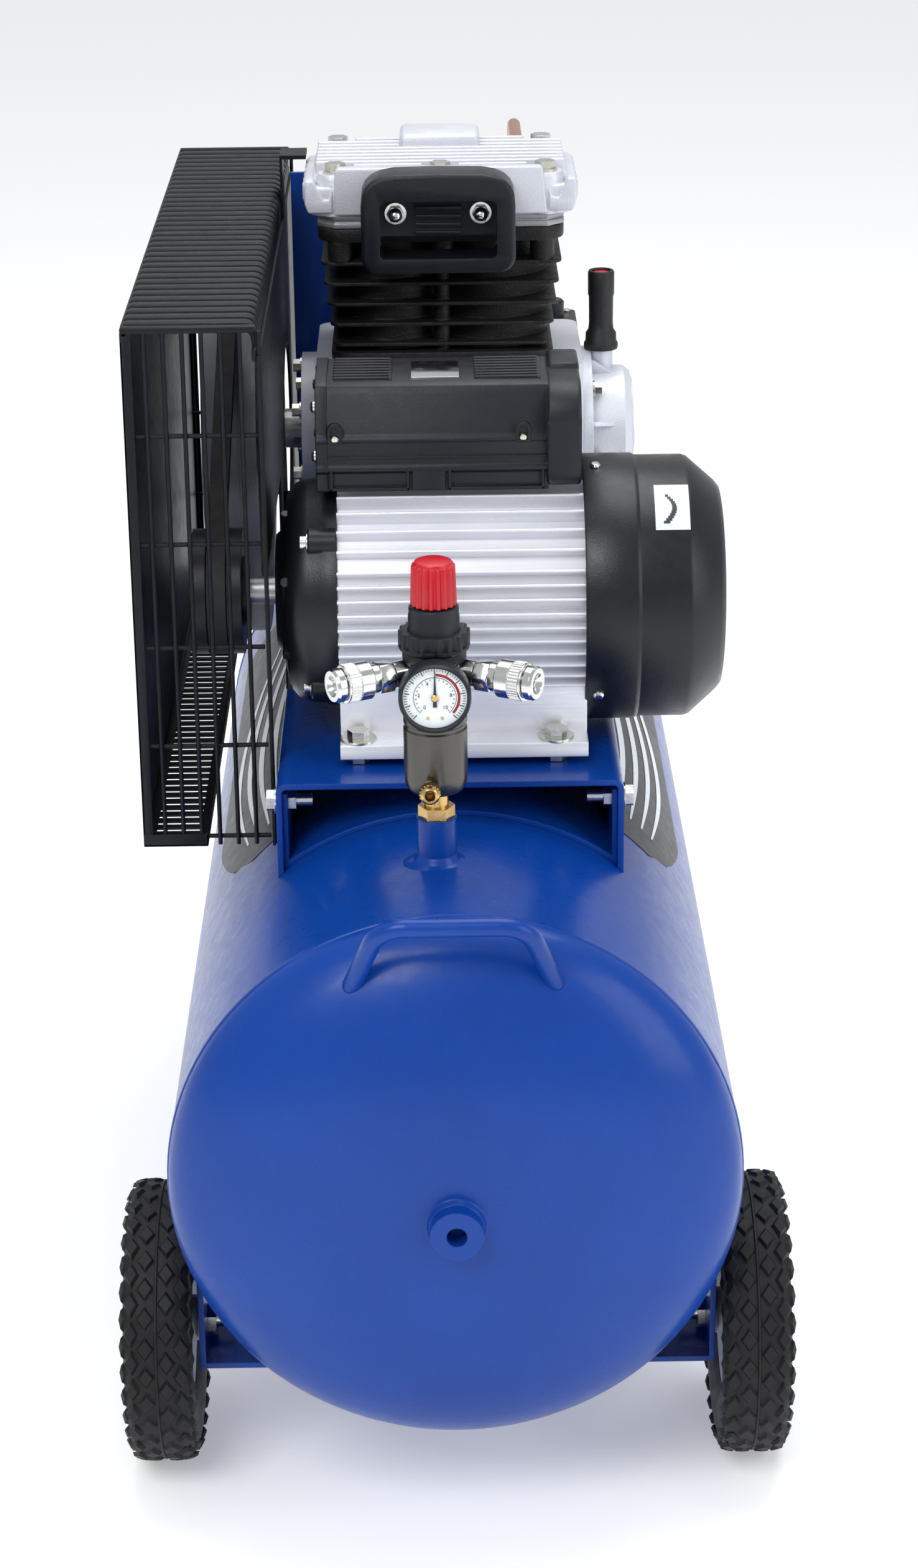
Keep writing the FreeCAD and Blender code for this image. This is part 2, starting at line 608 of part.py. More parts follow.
def flywheel():
    body = turned("flywheel_rim",
                  [("flywheel_radius - 24", "-flywheel_half"), ("flywheel_radius", "-flywheel_half"),
                   ("flywheel_radius", "-belt_half - groove_gap"),
                   ("flywheel_radius - belt_thick - 1.1", "-belt_half - groove_gap"),
                   ("flywheel_radius - belt_thick - 1.1", "belt_half + groove_gap"),
                   ("flywheel_radius", "belt_half + groove_gap"), ("flywheel_radius", "flywheel_half"),
                   ("flywheel_radius - 24", "flywheel_half")],
                  ("belt_plane", "crank_y", "crank_z"), "-x")
    doc.recompute()
    spoke = loop_sketch(body, "XY_Plane", [("10", "-15"), ("flywheel_radius - 20", "-11"),
                                           ("flywheel_radius - 20", "11"), ("10", "15")], "spoke_outline")
    doc.recompute()
    pad = body.newObject("PartDesign::Pad", "spoke_pad")
    pad.Profile = spoke
    pad.Length = 12
    pad.Midplane = True
    doc.recompute()
    around(body, pad, 6)
    hub = drum("flywheel_hub", "30", "42", ("belt_plane - 21", "crank_y", "crank_z"), "x")
    bore = drum("flywheel_bore", "journal", "60", ("belt_plane - 30", "crank_y", "crank_z"), "x")
    return cut("flywheel_body", fuse("flywheel_solid", body, hub), bore)


keep("flywheel", flywheel())


# ---------------------------------------------------------------- pump
def crank_place(along, lift="0"):
    return (along, "crank_y", f"crank_z + {lift}")


WEB_EDGES = ("bore_pitch / 2 + 12", "bore_pitch / 2 + 26")
COVER_BOLTS = 6


def ring_places(radius, count, turn=0.0):
    """Bolt places on a circle round the crank axis, as sheet expressions."""
    places = []
    for number in range(count):
        angle = math.tau * number / count + turn
        across, up = radius * math.cos(angle), radius * math.sin(angle)
        places.append((f"crank_y + {across:.3f}", f"crank_z + {up:.3f}"))
    return places


def crankcase():
    outer = block("case_outer", ("case_right - case_left", "2 * case_half", "case_top - saddle_top"),
                  ("case_left", "crank_y - case_half", "saddle_top"))
    outer = rounded("case_outer_round", outer, 12, FreeCAD.Vector(0, 0, 1))
    flange = block("case_flange", ("case_right - case_left", "2 * case_half + 40", "10"),
                   ("case_left", "crank_y - case_half - 20", "saddle_top"))
    collar = drum("case_collar", "58", "12", crank_place("case_left - 12"), "x")
    inner = block("case_inner", ("case_right - case_left - 2 * case_wall", "2 * (case_half - case_wall)",
                                 "case_top - saddle_top - 2 * case_wall"),
                  ("case_left + case_wall", "crank_y - case_half + case_wall", "saddle_top + case_wall"))
    bearing_hole = drum("case_bearing_hole", "case_bearing", "60", crank_place("case_left - 20"), "x")
    cover_hole = drum("case_cover_hole", "30", "40", crank_place("case_right - 30"), "x")
    throats = [drum(f"case_throat_{i}", "bore_radius + 3", "30",
                    (f"{s} * bore_pitch / 2", "crank_y", "case_top - 25")) for i, s in enumerate((-1, 1))]
    holes = [drum(f"case_foot_hole_{i}", "bolt_radius", "12", (x, y, "saddle_top - 1"))
             for i, (x, y) in enumerate(PUMP_BOLTS)]
    holes += [drum(f"case_left_hole_{i}", "3", "12", ("case_left - 12", y, z), "x")
              for i, (y, z) in enumerate(ring_places(49, COVER_BOLTS, 0.5))]
    return cut("crankcase_cast", fuse("case_solid", outer, flange, collar), inner, bearing_hole,
               cover_hole, *throats, *holes)


keep("crankcase", crankcase())


def crankcase_cover():
    dome = turned("cover_dome",
                  [("cover_bearing", "0"), ("60", "0"), ("60", "8"), ("46", "8"), ("45", "33"), ("41", "38"),
                   ("0", "38"), ("0", "18"), ("cover_bearing", "18")], crank_place("case_right"), "x")
    boss = drum("cover_boss", "9", "25", ("breather_x", "crank_y", "crank_z + 35"))
    holes = [drum(f"cover_hole_{i}", "3", "8", ("case_right", y, z), "x")
             for i, (y, z) in enumerate(ring_places(53, COVER_BOLTS, 0.26))]
    return cut("crankcase_cover_cast", fuse("cover_solid", dome, boss), *holes)


keep("crankcase_cover", crankcase_cover())
keep("breather",
     turned("breather_tube",
            [("5", "0"), ("13", "0"), ("13", "4"), ("9.5", "14"), ("9", "54"), ("10", "56"), ("10", "60"),
             ("7", "60"), ("7", "57"), ("5", "55")], ("breather_x", "crank_y", "crank_z + 60")))


def bearing(name, bore, outer, width, place):
    return turned(name, [(f"{bore} + running_gap", "0"), (outer, "0"), (outer, width),
                         (f"{bore} + running_gap", width)], place, "x")


keep("shaft_bearings", group(
    "shaft_bearings_all",
    bearing("motor_front_bearing", "motor_shaft", "motor_bearing", "12.5",
            motor_place("housing_left - 38.8")),
    bearing("motor_back_bearing", "motor_shaft", "motor_bearing", "12", motor_place("housing_right")),
    bearing("crank_left_bearing", "journal", "case_bearing", "16", crank_place("case_left - 11")),
    bearing("crank_right_bearing", "tail_journal", "cover_bearing", "13", crank_place("case_right + 3"))))

keep("crankshaft", group(
    "crankshaft_all",
    fuse("crank_left",
         drum("crank_nose", "journal", f"-({WEB_EDGES[1]}) + 180", crank_place("-180"), "x"),
         drum("crank_left_web", "40", "14", crank_place(f"-({WEB_EDGES[1]})"), "x")),
    drum("crank_middle_web", "40", "bore_pitch - 24", crank_place("-bore_pitch / 2 + 12"), "x"),
    fuse("crank_right",
         drum("crank_right_web", "40", "14", crank_place(WEB_EDGES[0]), "x"),
         drum("crank_tail", "tail_journal", f"case_right + 16.5 - ({WEB_EDGES[1]})",
              crank_place(WEB_EDGES[1]), "x"))))

for number, side in ((1, -1), (2, 1)):
    bore_x = f"{side} * bore_pitch / 2"
    pin_low = f"crank_z - {side} * stroke / 2"
    pin_high = f"{pin_low} + rod_length"
    tag = f"rod_{number}"
    blank = fuse(
        tag + "_blank",
        drum(tag + "_big", "20", "20", (f"{bore_x} - 10", "crank_y", pin_low), "x"),
        drum(tag + "_small", "12", "20", (f"{bore_x} - 10", "crank_y", pin_high), "x"),
        block(tag + "_shank", ("12", "14", "rod_length"), (f"{bore_x} - 6", "crank_y - 7", pin_low)))
    rod = cut(tag + "_forged", blank,
              drum(tag + "_big_bore", "12", "24", (f"{bore_x} - 12", "crank_y", pin_low), "x"),
              drum(tag + "_small_bore", "7.5", "24", (f"{bore_x} - 12", "crank_y", pin_high), "x"))
    crankpin = drum(tag + "_crankpin", "12", "22.4", (f"{bore_x} - 11.2", "crank_y", pin_low), "x")
    keep(f"connecting_rod_{number}", group(tag + "_all", rod, crankpin))

    tag = f"piston_{number}"
    crown = f"{pin_high} + 25"
    skirt = turned(tag + "_turned",
                   [("bore_radius - piston_gap - 4.5", "-45"), ("bore_radius - piston_gap", "-45"),
                    ("bore_radius - piston_gap", "-10"), ("bore_radius - 3", "-10"),
                    ("bore_radius - 3", "-7"), ("bore_radius - piston_gap", "-7"),
                    ("bore_radius - piston_gap", "0"), ("0", "0"), ("0", "-8"),
                    ("bore_radius - piston_gap - 4.5", "-8")], (bore_x, "crank_y", crown))
    pin_hole = drum(tag + "_pin_hole", "7.5", "80", (f"{bore_x} - 40", "crank_y", pin_high), "x")
    ring = turned(tag + "_ring",
                  [("bore_radius - 3", "-10"), ("bore_radius - running_gap", "-10"),
                   ("bore_radius - running_gap", "-7"), ("bore_radius - 3", "-7")],
                  (bore_x, "crank_y", crown))
    pin = drum(tag + "_pin", "7.5", "58", (f"{bore_x} - 29", "crank_y", pin_high), "x")
    keep(f"piston_{number}", group(tag + "_all", cut(tag + "_skirt", skirt, pin_hole), ring, pin))

HEAD_BOLTS = [(x, f"crank_y + {row} * 51") for x in ("-77", "0", "77") for row in (-1, 1)]


def head_holes(name, low, high):
    return [drum(f"{name}_bolt_hole_{i}", "bolt_radius", f"({high}) - ({low})", (x, y, low))
            for i, (x, y) in enumerate(HEAD_BOLTS)]


def cylinder_block():
    pieces = [drum(f"liner_{i}", "bore_radius + 7", "block_top - case_top",
                   (f"{s} * bore_pitch / 2", "crank_y", "case_top")) for i, s in enumerate((-1, 1))]
    pieces.append(block("block_web", ("bore_pitch", "50", "block_top - case_top"),
                        ("-bore_pitch / 2", "crank_y - 25", "case_top")))
    plates = (("case_top", 9, 80), ("case_top + 18", 4, 81), ("case_top + 32", 4, 83),
              ("case_top + 47", 4, 85), ("case_top + 62", 4, 87), ("case_top + 77", 4, 88),
              ("block_top - 11", 11, 91))
    for number, (low, thick, half) in enumerate(plates):
        plate = block(f"block_fin_{number}", (str(2 * half), "2 * head_depth - 8", str(thick)),
                      (str(-half), "crank_y - head_depth + 4", low))
        pieces.append(plate)
    bores = [drum(f"bore_{i}", "bore_radius", "block_top - case_top + 2",
                  (f"{s} * bore_pitch / 2", "crank_y", "case_top - 1")) for i, s in enumerate((-1, 1))]
    return cut("cylinder_block_cast", fuse("block_solid", *pieces), *bores,
               *head_holes("block", "block_top - 9", "block_top + 1"))


keep("cylinder_block", cylinder_block())


def valve_plate():
    plate = block("valve_plate_blank", ("182", "2 * head_depth - 8", "plate_top - block_top"),
                  ("-91", "crank_y - head_depth + 4", "block_top"))
    tools, reeds = [], []
    for number, (side, row) in enumerate(((-1, -1), (-1, 1), (1, -1), (1, 1))):
        x, y = f"{side} * bore_pitch / 2", f"crank_y + {row} * 18"
        tools.append(drum(f"port_{number}", "6", "12", (x, y, "block_top - 1")))
        if row < 0:
            low = "block_top + 0.2"
            tools.append(block(f"reed_seat_{number}", ("44", "16", "1"),
                               (f"{x} - 22", f"{y} - 8", "block_top")))
        else:
            low = "plate_top"
        reeds.append(block(f"reed_{number}", ("40", "14", "0.6"), (f"{x} - 20", f"{y} - 7", low)))
    tools += head_holes("plate", "block_top - 1", "plate_top + 1")
    return group("valve_plate_all", cut("valve_plate_cut", plate, *tools), *reeds)


keep("valve_plate", valve_plate())


def cylinder_head():
    base = block("head_base", ("2 * head_half", "2 * head_depth", "28"),
                 ("-head_half", "crank_y - head_depth", "plate_top"))
    face = block("head_face", ("156", "3", "head_top - plate_top - 6"),
                 ("-80", "crank_y - head_depth - 3", "plate_top + 4"))
    pieces = [base, face]
    for number in range(9):
        pieces.append(block(f"head_fin_{number}", ("2 * head_half - 6", "4", "head_top - plate_top - 28"),
                            ("-head_half + 3", f"crank_y - 62 + {number * 15}", "plate_top + 28")))
    tools = [block(f"head_chamber_{i}", ("160", "38", "14"), ("-80", f"crank_y + {low}", "plate_top"))
             for i, low in enumerate((-42, 4))]
    tools.append(drum("head_port", "line_radius", "30", ("line_x", "crank_y + head_depth - 28", "port_z"),
                      "y"))
    tools += head_holes("head", "plate_top - 1", "head_top")
    tools += [drum(f"head_pocket_{i}", "washer_radius + 2.5", "30", (x, y, "plate_top + 30"))
              for i, (x, y) in enumerate(HEAD_BOLTS)]
    return cut("cylinder_head_cast", fuse("head_solid", *pieces), *tools)


keep("cylinder_head", cylinder_head())


def intake_filter():
    front = "crank_y - head_depth - 3 - 34"
    loop = block("filter_blank", ("112", "34", "73"), ("-58", front, "plate_top - 35"))
    loop = rounded("filter_round", loop, 14, FreeCAD.Vector(0, 1, 0))
    grip_hole = block("filter_grip", ("86", "40", "13"), ("-44", f"{front} - 3", "plate_top - 24"))
    recess = block("filter_recess", ("86", "20", "30"), ("-44", f"{front} - 1", "plate_top - 12"))
    return cut("intake_filter_body", loop, grip_hole, recess)


keep("intake_filter", intake_filter())


# ---------------------------------------------------------------- bolts
def bolts():
    pieces = []
    for i, (x, y) in enumerate(PUMP_BOLTS):
        pieces += bolt(f"pump_bolt_{i}", (x, y, "saddle_top + 10"), "z", "22", nuts=(19.5,))
    for i, (x, y) in enumerate(FOOT_BOLTS):
        pieces += bolt(f"foot_bolt_{i}", (x, y, "foot_low + foot_sheet"), "z", "30", nuts=(15.5, 25.5))
    for i, place in enumerate(SIDE_BOLT_PLACES):
        for side, axis in ((-1, "-x"), (1, "x")):
            pieces += bolt(f"side_bolt_{i}_{axis}", (f"{side} * saddle_half", place, "side_bolt_z"), axis,
                           "24", nuts=(13,))
    for i, (x, y) in enumerate(HEAD_BOLTS):
        pieces += bolt(f"head_bolt_{i}", (x, y, "plate_top + 30"), "z", "38")
    for i, (y, z) in enumerate(ring_places(53, COVER_BOLTS, 0.26)):
        pieces += bolt(f"cover_bolt_{i}", ("case_right + 8", y, z), "x", "8", "3", "5")
    for i, (y, z) in enumerate(ring_places(49, COVER_BOLTS, 0.5)):
        pieces += bolt(f"collar_bolt_{i}", ("case_left - 12", y, z), "-x", "10", "3", "5")
    for side, axis in ((-1, "-x"), (1, "x")):
        pieces += bolt(f"axle_bolt_{axis}",
                       (f"{side} * (wheel_track + wheel_width / 2 - 7.8)", "wheel_place", "wheel_radius"),
                       axis, "61", "axle_radius", "11", nuts=(49.7,))
    return group("hex_bolts_all", *pieces)


keep("hex_bolts", bolts())


# ---------------------------------------------------------------- guard
def guard_shell():
    width = "guard_right - guard_left"
    length = "guard_rear - guard_front"
    side = block("guard_side", ("guard_sheet", length, "guard_top - guard_low"),
                 ("guard_left", "guard_front", "guard_low"))
    top = block("guard_roof", (width, length, "guard_sheet"),
                ("guard_left", "guard_front", "guard_top - guard_sheet"))
    floor = block("guard_floor", ("guard_rim", length, "guard_sheet"),
                  ("guard_left", "guard_front", "guard_low"))
    lip = block("guard_lip", ("guard_sheet", length, "16"),
                ("guard_right - guard_sheet", "guard_front", "guard_top - 16"))
    pitch = 17
    count = int((size("guard_rear") - size("guard_front")) / pitch)
    slots = []
    for number in range(count):
        low_y = f"guard_front + 12 + {number * pitch}"
        slots.append(block(f"roof_slot_{number}", (f"{width} - 24", "6", "20"),
                           ("guard_left + 12", low_y, "guard_top - 10")))
        slots.append(block(f"floor_slot_{number}", ("guard_rim - 16", "6", "20"),
                           ("guard_left + 8", low_y, "guard_low - 10")))
    return cut("guard_shell_sheet", fuse("guard_shell_solid", side, top, floor, lip), *slots)


keep("guard_shell", guard_shell())


def guard_grille():
    """Welded wire lattices that close the front and rear of the guard."""
    lattices = []
    for tag, face in (("front", "guard_front"), ("rear", "guard_rear - wire")):
        bars = []
        for column in range(8):
            bars.append(block(f"{tag}_upright_{column}", ("wire", "wire", "guard_top - guard_low - 5"),
                              (f"guard_left + 2.2 + {column} * (guard_right - guard_left - 5.4 - wire) / 7",
                               face, "guard_low + 2.4")))
        for row in range(6):
            bars.append(block(f"{tag}_cross_{row}", ("guard_right - guard_left - 5", "wire", "wire"),
                              ("guard_left + 2.2", face,
                               f"guard_low + 12 + {row} * (guard_top - guard_low - 30) / 5")))
        lattices.append(fuse(f"{tag}_lattice", *bars))
    return group("guard_grille_all", *lattices)


keep("guard_grille", guard_grille())


def guard_inner_panel():
    """The inboard sheet: whole over the flywheel, cut away in front of the motor shaft."""
    rear = block("panel_rear", ("guard_sheet", "guard_rear - 20", "guard_top - saddle_top - 20"),
                 ("guard_right", "16", "saddle_top"))
    front = block("panel_front", ("guard_sheet", "20 - guard_front", "150"),
                  ("guard_right", "guard_front", "guard_top - 20 - 150"))
    post = block("panel_post", ("guard_sheet", "10", "guard_top - guard_low - 20"),
                 ("guard_right", "guard_front", "guard_low"))
    tab = block("panel_tab", ("guard_sheet", "30", "60"), ("guard_right", "crank_y + 25", "head_top - 78"))
    arm = block("panel_arm", ("-guard_right - head_half", "30", "3"),
                ("guard_right", "crank_y + 25", "head_top - 21"))
    hole = drum("panel_hole", "66", "20", crank_place("guard_right - 8"), "x")
    return cut("guard_inner_sheet", fuse("guard_inner_solid", rear, front, post, tab, arm), hole)


keep("guard_inner_panel", guard_inner_panel())
keep("guard_stay", fuse(
    "guard_stay_folded",
    block("stay_upright", ("54", "sheet", "plate_top - saddle_top"), ("-116", "crank_y + 100", "saddle_top")),
    block("stay_foot", ("54", "36", "sheet"), ("-116", "crank_y + 100", "saddle_top"))))


# ---------------------------------------------------------------- regulator set
def reg_place(height):
    return ("reg_x", "reg_y", height)


keep("brass_nipple", fuse(
    "nipple_solid",
    drum("nipple_thread", "bung_bore", "20", reg_place("tank_axis + tank_radius + bung_height - 20")),
    hexagon("nipple_hex", "12", "8", reg_place("tank_axis + tank_radius + bung_height")),
    drum("nipple_neck", "8", "bowl_low - tank_axis - tank_radius - bung_height",
         reg_place("tank_axis + tank_radius + bung_height"))))
keep("filter_bowl",
     turned("bowl_turned",
            [("0", "0"), ("bowl_radius - 5", "0"), ("bowl_radius - 1", "4"), ("bowl_radius", "10"),
             ("bowl_radius", "bowl_top - bowl_low"), ("0", "bowl_top - bowl_low")],
            reg_place("bowl_low")))
petcock_place = ("reg_x - 4", "reg_y", "bowl_low + 9")
keep("drain_petcock",
     turned("petcock_turned",
            [("0", "20.7"), ("4", "20.7"), ("4", "25"), ("3", "25"), ("3", "28"), ("7", "28"),
             ("7", "35"), ("0", "35")], petcock_place, "-y"))

TURN = size("coupler_angle")


def outlet_turn(side):
    """Outlets point sideways and a little forward."""
    angle = math.radians(TURN)
    outward = FreeCAD.Vector(side * math.cos(angle), -math.sin(angle), 0)
    return FreeCAD.Rotation(FreeCAD.Vector(0, 0, 1), outward)


def regulator_body():
    trunk = turned("regulator_trunk",
                   [("0", "0"), ("20", "0"), ("20", "body_top - bowl_top"), ("17", "body_top - bowl_top"),
                    ("17", "collar_top - bowl_top"), ("16", "collar_top - bowl_top"),
                    ("16", "neck_top - 0.5 - bowl_top"), ("12", "neck_top - 0.5 - bowl_top"),
                    ("12", "neck_top + 14 - bowl_top"), ("0", "neck_top + 14 - bowl_top")],
                   reg_place("bowl_top"))
    gauge_port = drum("gauge_port", "8", "gauge_reach - gauge_depth", reg_place("gauge_z"), "-y")
    outlets = [drum(f"outlet_{i}", "9", "22", reg_place("coupler_z"), outlet_turn(side))
               for i, side in enumerate((-1, 1))]
    return fuse("regulator_cast", trunk, gauge_port, *outlets)


keep("regulator_body", regulator_body())
keep("regulator_collar",
     turned("collar_turned", [("17", "0"), ("22.8", "0"), ("22.8", "collar_top - body_top"),
                              ("17", "collar_top - body_top")], reg_place("body_top")))
keep("regulator_knob",
     turned("knob_turned",
            [("12.6", "0"), ("knob_radius", "0"), ("knob_radius", "knob_top - neck_top - 4"),
             ("knob_radius - 3", "knob_top - neck_top"), ("0", "knob_top - neck_top"), ("0", "20"),
             ("12.6", "20")], reg_place("neck_top")))
keep("gauge_case",
     turned("gauge_turned",
            [("0", "gauge_reach - gauge_depth"), ("gauge_radius - 3", "gauge_reach - gauge_depth"),
             ("gauge_radius", "gauge_reach - gauge_depth + 3"), ("gauge_radius", "gauge_reach"),
             ("gauge_radius - 2.5", "gauge_reach"), ("gauge_radius - 2.5", "gauge_reach - 5"),
             ("0", "gauge_reach - 5")], reg_place("gauge_z"), "-y"))
keep("gauge_needle", fuse(
    "needle_solid",
    drum("needle_hub", "2.2", "1.6", ("reg_x", "reg_y - gauge_reach + 4.5", "gauge_z"), "-y"),
    block("needle_pointer", ("1.2", "0.8", "22"),
          ("reg_x - 0.6", "reg_y - gauge_reach + 3.3", "gauge_z - 6"))))

coupler_bodies = []
for tag, side in (("left", -1), ("right", 1)):
    coupler_bodies.append(turned(
        f"coupler_{tag}",
        [("coupler_bore", "22"), ("6.5", "22"), ("6.5", "31"), ("11", "31"), ("11", "41"),
         ("9.4", "41"), ("9.4", "coupler_reach - 7"), ("11", "coupler_reach - 7"),
         ("11", "coupler_reach"), ("coupler_bore", "coupler_reach")],
        reg_place("coupler_z"), outlet_turn(side)))
    keep(f"coupler_sleeve_{tag}",
         turned(f"sleeve_{tag}", [("9.5", "47"), ("12.5", "47"), ("12.5", "coupler_reach - 7.4"),
                                  ("9.5", "coupler_reach - 7.4")], reg_place("coupler_z"), outlet_turn(side)))
keep("coupler_bodies", group("coupler_bodies_all", *coupler_bodies))

# ---------------------------------------------------------------- air lines and switch
def switch_housing():
    base = block("switch_base", ("2 * switch_half", "2 * switch_depth", "22"),
                 ("switch_x - switch_half", "air_y - switch_depth", "switch_low"))
    cover_blank = block("switch_cover_blank", ("2 * switch_half", "2 * switch_depth",
                                               "switch_top - switch_low - 22"),
                        ("switch_x - switch_half", "air_y - switch_depth", "switch_low + 22"))
    cover_round = rounded("switch_cover_round", cover_blank, 5, FreeCAD.Vector(0, 0, 1))
    hollow = block("switch_hollow", ("2 * switch_half - 6", "2 * switch_depth - 6",
                                     "switch_top - switch_low - 25"),
                   ("switch_x - switch_half + 3", "air_y - switch_depth + 3", "switch_low + 22"))
    stem_hole = drum("switch_stem_hole", "6.1", "20", ("switch_x", "air_y", "switch_top - 10"))
    cover = cut("switch_cover", cover_round, hollow, stem_hole)
    riser = drum("switch_riser", "8", "switch_low - tank_axis - 174",
                 ("switch_x", "air_y", "tank_axis + 174"))
    tee = drum("switch_tee", "9", "18", ("switch_x", "air_y", "switch_low - 45"), "x")
    return group("pressure_switch_all", base, cover, fuse("switch_stand", riser, tee))


keep("pressure_switch", switch_housing())
keep("switch_button", turned(
    "switch_button_turned",
    [("0", "-22"), ("6", "-22"), ("6", "1"), ("10", "1"), ("10", "14"), ("8", "16"), ("0", "16")],
    ("switch_x", "air_y", "switch_top")))
keep("cable_gland", turned(
    "gland_turned",
    [("4.5", "0"), ("10", "0"), ("10", "8"), ("8", "16"), ("4.5", "16")],
    ("switch_x - 6", "air_y + switch_depth", "switch_low + 11"), "y"))
keep("safety_valve", turned(
    "safety_valve_turned",
    [("2.05", "18"), ("10", "18"), ("10", "26"), ("7", "26"), ("7", "40"), ("2.05", "40")],
    ("switch_x", "air_y", "switch_low - 45"), "x"))
keep("safety_pull", turned(
    "safety_pull_turned",
    [("0", "24"), ("2", "24"), ("2", "40.5"), ("6", "40.5"), ("6", "43"), ("0", "43")],
    ("switch_x", "air_y", "switch_low - 45"), "x"))


def delivery_line():
    x, y = size("line_x"), size("air_y")
    start = size("crank_y") + size("head_depth")
    pipe = tube("delivery_pipe", [(x, start, size("port_z")), (x, y, size("port_z")), (x, y, 470)],
                size("line_radius"), size("line_bend"))
    low = "tank_axis + 187"
    valve = hexagon("check_valve_hex", "15", f"470 - ({low})", ("line_x", "air_y", low))
    turn = 6
    riser_x = size("switch_x") - size("switch_half") + 5
    unloader = tube("unloader_pipe", [(x + 13, y, 455), (riser_x, y, 455), (riser_x, y, size("switch_low"))],
                    2, turn / 2)
    return group("delivery_line_all", pipe, valve, unloader)


keep("delivery_line", delivery_line())

# ---------------------------------------------------------------- checks and files
doc.recompute()
for thing in doc.Objects:
    if "Invalid" in thing.State or "Error" in thing.State:
        raise SystemExit(f"{thing.Label}: {thing.State}")
for name, thing in parts:
    if thing.Shape.isNull() or not thing.Shape.isValid() or not thing.Shape.Solids:
        raise SystemExit(f"{name}: not a valid solid")
for name, thing in parts:
    thing.Shape.exportStep(f"parts/{name}.step")
print(len(parts), "sub-parts written")
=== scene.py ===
import json
import math

import bmesh
import bpy
from mathutils import Matrix, Vector


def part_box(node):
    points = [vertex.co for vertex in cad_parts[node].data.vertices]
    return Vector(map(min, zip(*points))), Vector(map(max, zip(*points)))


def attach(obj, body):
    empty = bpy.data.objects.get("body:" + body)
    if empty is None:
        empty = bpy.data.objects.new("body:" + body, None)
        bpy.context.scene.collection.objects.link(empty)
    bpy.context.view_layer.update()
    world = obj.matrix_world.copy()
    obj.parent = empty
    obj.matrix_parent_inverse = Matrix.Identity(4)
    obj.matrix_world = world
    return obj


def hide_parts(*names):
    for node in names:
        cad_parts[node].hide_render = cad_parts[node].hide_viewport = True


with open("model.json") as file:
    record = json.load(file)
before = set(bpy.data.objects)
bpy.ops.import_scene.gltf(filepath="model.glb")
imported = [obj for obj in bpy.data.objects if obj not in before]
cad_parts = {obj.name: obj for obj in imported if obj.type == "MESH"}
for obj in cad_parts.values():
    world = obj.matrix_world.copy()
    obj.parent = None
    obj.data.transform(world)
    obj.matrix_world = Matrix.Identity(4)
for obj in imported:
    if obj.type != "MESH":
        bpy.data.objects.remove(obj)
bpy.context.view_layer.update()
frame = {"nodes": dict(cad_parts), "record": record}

# Looks of a belt-driven air compressor: +Z up, +Y along the receiver away from the regulator.
# Shapes are worked out in millimetres, and piece() brings them to metres.
MM = 0.001
FULL = math.tau


def corner(node, x=0, y=0, z=0):
    """A corner, edge or middle of a node's box: 0 is its low side and 1 its high side."""
    low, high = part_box(node)
    return Vector((a + (b - a) * share) / MM for a, b, share in zip(low, high, (x, y, z)))


def middle(node):
    return corner(node, 0.5, 0.5, 0.5)


def extent(node):
    return corner(node, 1, 1, 1) - corner(node)


def span(node, axis):
    """The low and high side of a node's box along one axis."""
    return getattr(corner(node), axis), getattr(corner(node, 1, 1, 1), axis)


# ------------------------------------------------------------------ mesh tools
TURNS = {
    "z": Matrix.Identity(3),
    "x": Matrix.Rotation(math.radians(90), 3, "Y"),
    "-x": Matrix.Rotation(math.radians(-90), 3, "Y"),
    "y": Matrix.Rotation(math.radians(-90), 3, "X"),
    "-y": Matrix.Rotation(math.radians(90), 3, "X"),
}


def moved(bm, place=(0, 0, 0), axis="z"):
    """Turn local Z to an axis, or to a direction, and set the shape down at a place."""
    if isinstance(axis, str):
        turn = TURNS[axis]
    else:
        turn = Vector((0, 0, 1)).rotation_difference(Vector(axis)).to_matrix()
    bmesh.ops.transform(bm, matrix=Matrix.Translation(Vector(place)) @ turn.to_4x4(), verts=bm.verts)
    return bm


def softened(bm, width, segments=2, angle=28):
    """Bevel every edge whose faces meet at more than the angle."""
    limit = math.radians(angle)
    sharp = [edge for edge in bm.edges if edge.is_manifold and edge.calc_face_angle(0) > limit]
    bmesh.ops.bevel(bm, geom=sharp, offset=width, offset_type="OFFSET", segments=segments, profile=0.5,
                    affect="EDGES", clamp_overlap=True, material=-1)
    return bm


def lathe(profile, place=(0, 0, 0), axis="z", steps=96, soft=0, closed=False):
    """Spin (radius, height) points round local Z. A closed profile makes a ring."""
    bm = bmesh.new()
    points = [bm.verts.new((radius, 0, height)) for radius, height in profile]
    pairs = list(zip(points, points[1:]))
    if closed:
        pairs.append((points[-1], points[0]))
    edges = [bm.edges.new(pair) for pair in pairs]
    bmesh.ops.spin(bm, geom=points + edges, cent=(0, 0, 0), axis=(0, 0, 1), dvec=(0, 0, 0), angle=FULL,
                   steps=steps, use_merge=True, use_duplicate=False)
    bmesh.ops.remove_doubles(bm, verts=bm.verts, dist=1e-6)
    bmesh.ops.recalc_face_normals(bm, faces=bm.faces)
    if soft:
        softened(bm, soft)
    return moved(bm, place, axis)


def plate(outline, depth, place=(0, 0, 0), axis="z", soft=0, segments=2):
    """Extrude an outline in local XY along local Z."""
    bm = bmesh.new()
    face = bm.faces.new([bm.verts.new((x, y, 0)) for x, y in outline])
    grown = bmesh.ops.extrude_face_region(bm, geom=[face])
    tops = [item for item in grown["geom"] if isinstance(item, bmesh.types.BMVert)]
    bmesh.ops.translate(bm, vec=(0, 0, depth), verts=tops)
    bmesh.ops.recalc_face_normals(bm, faces=bm.faces)
    if soft:
        softened(bm, soft, segments)
    return moved(bm, place, axis)


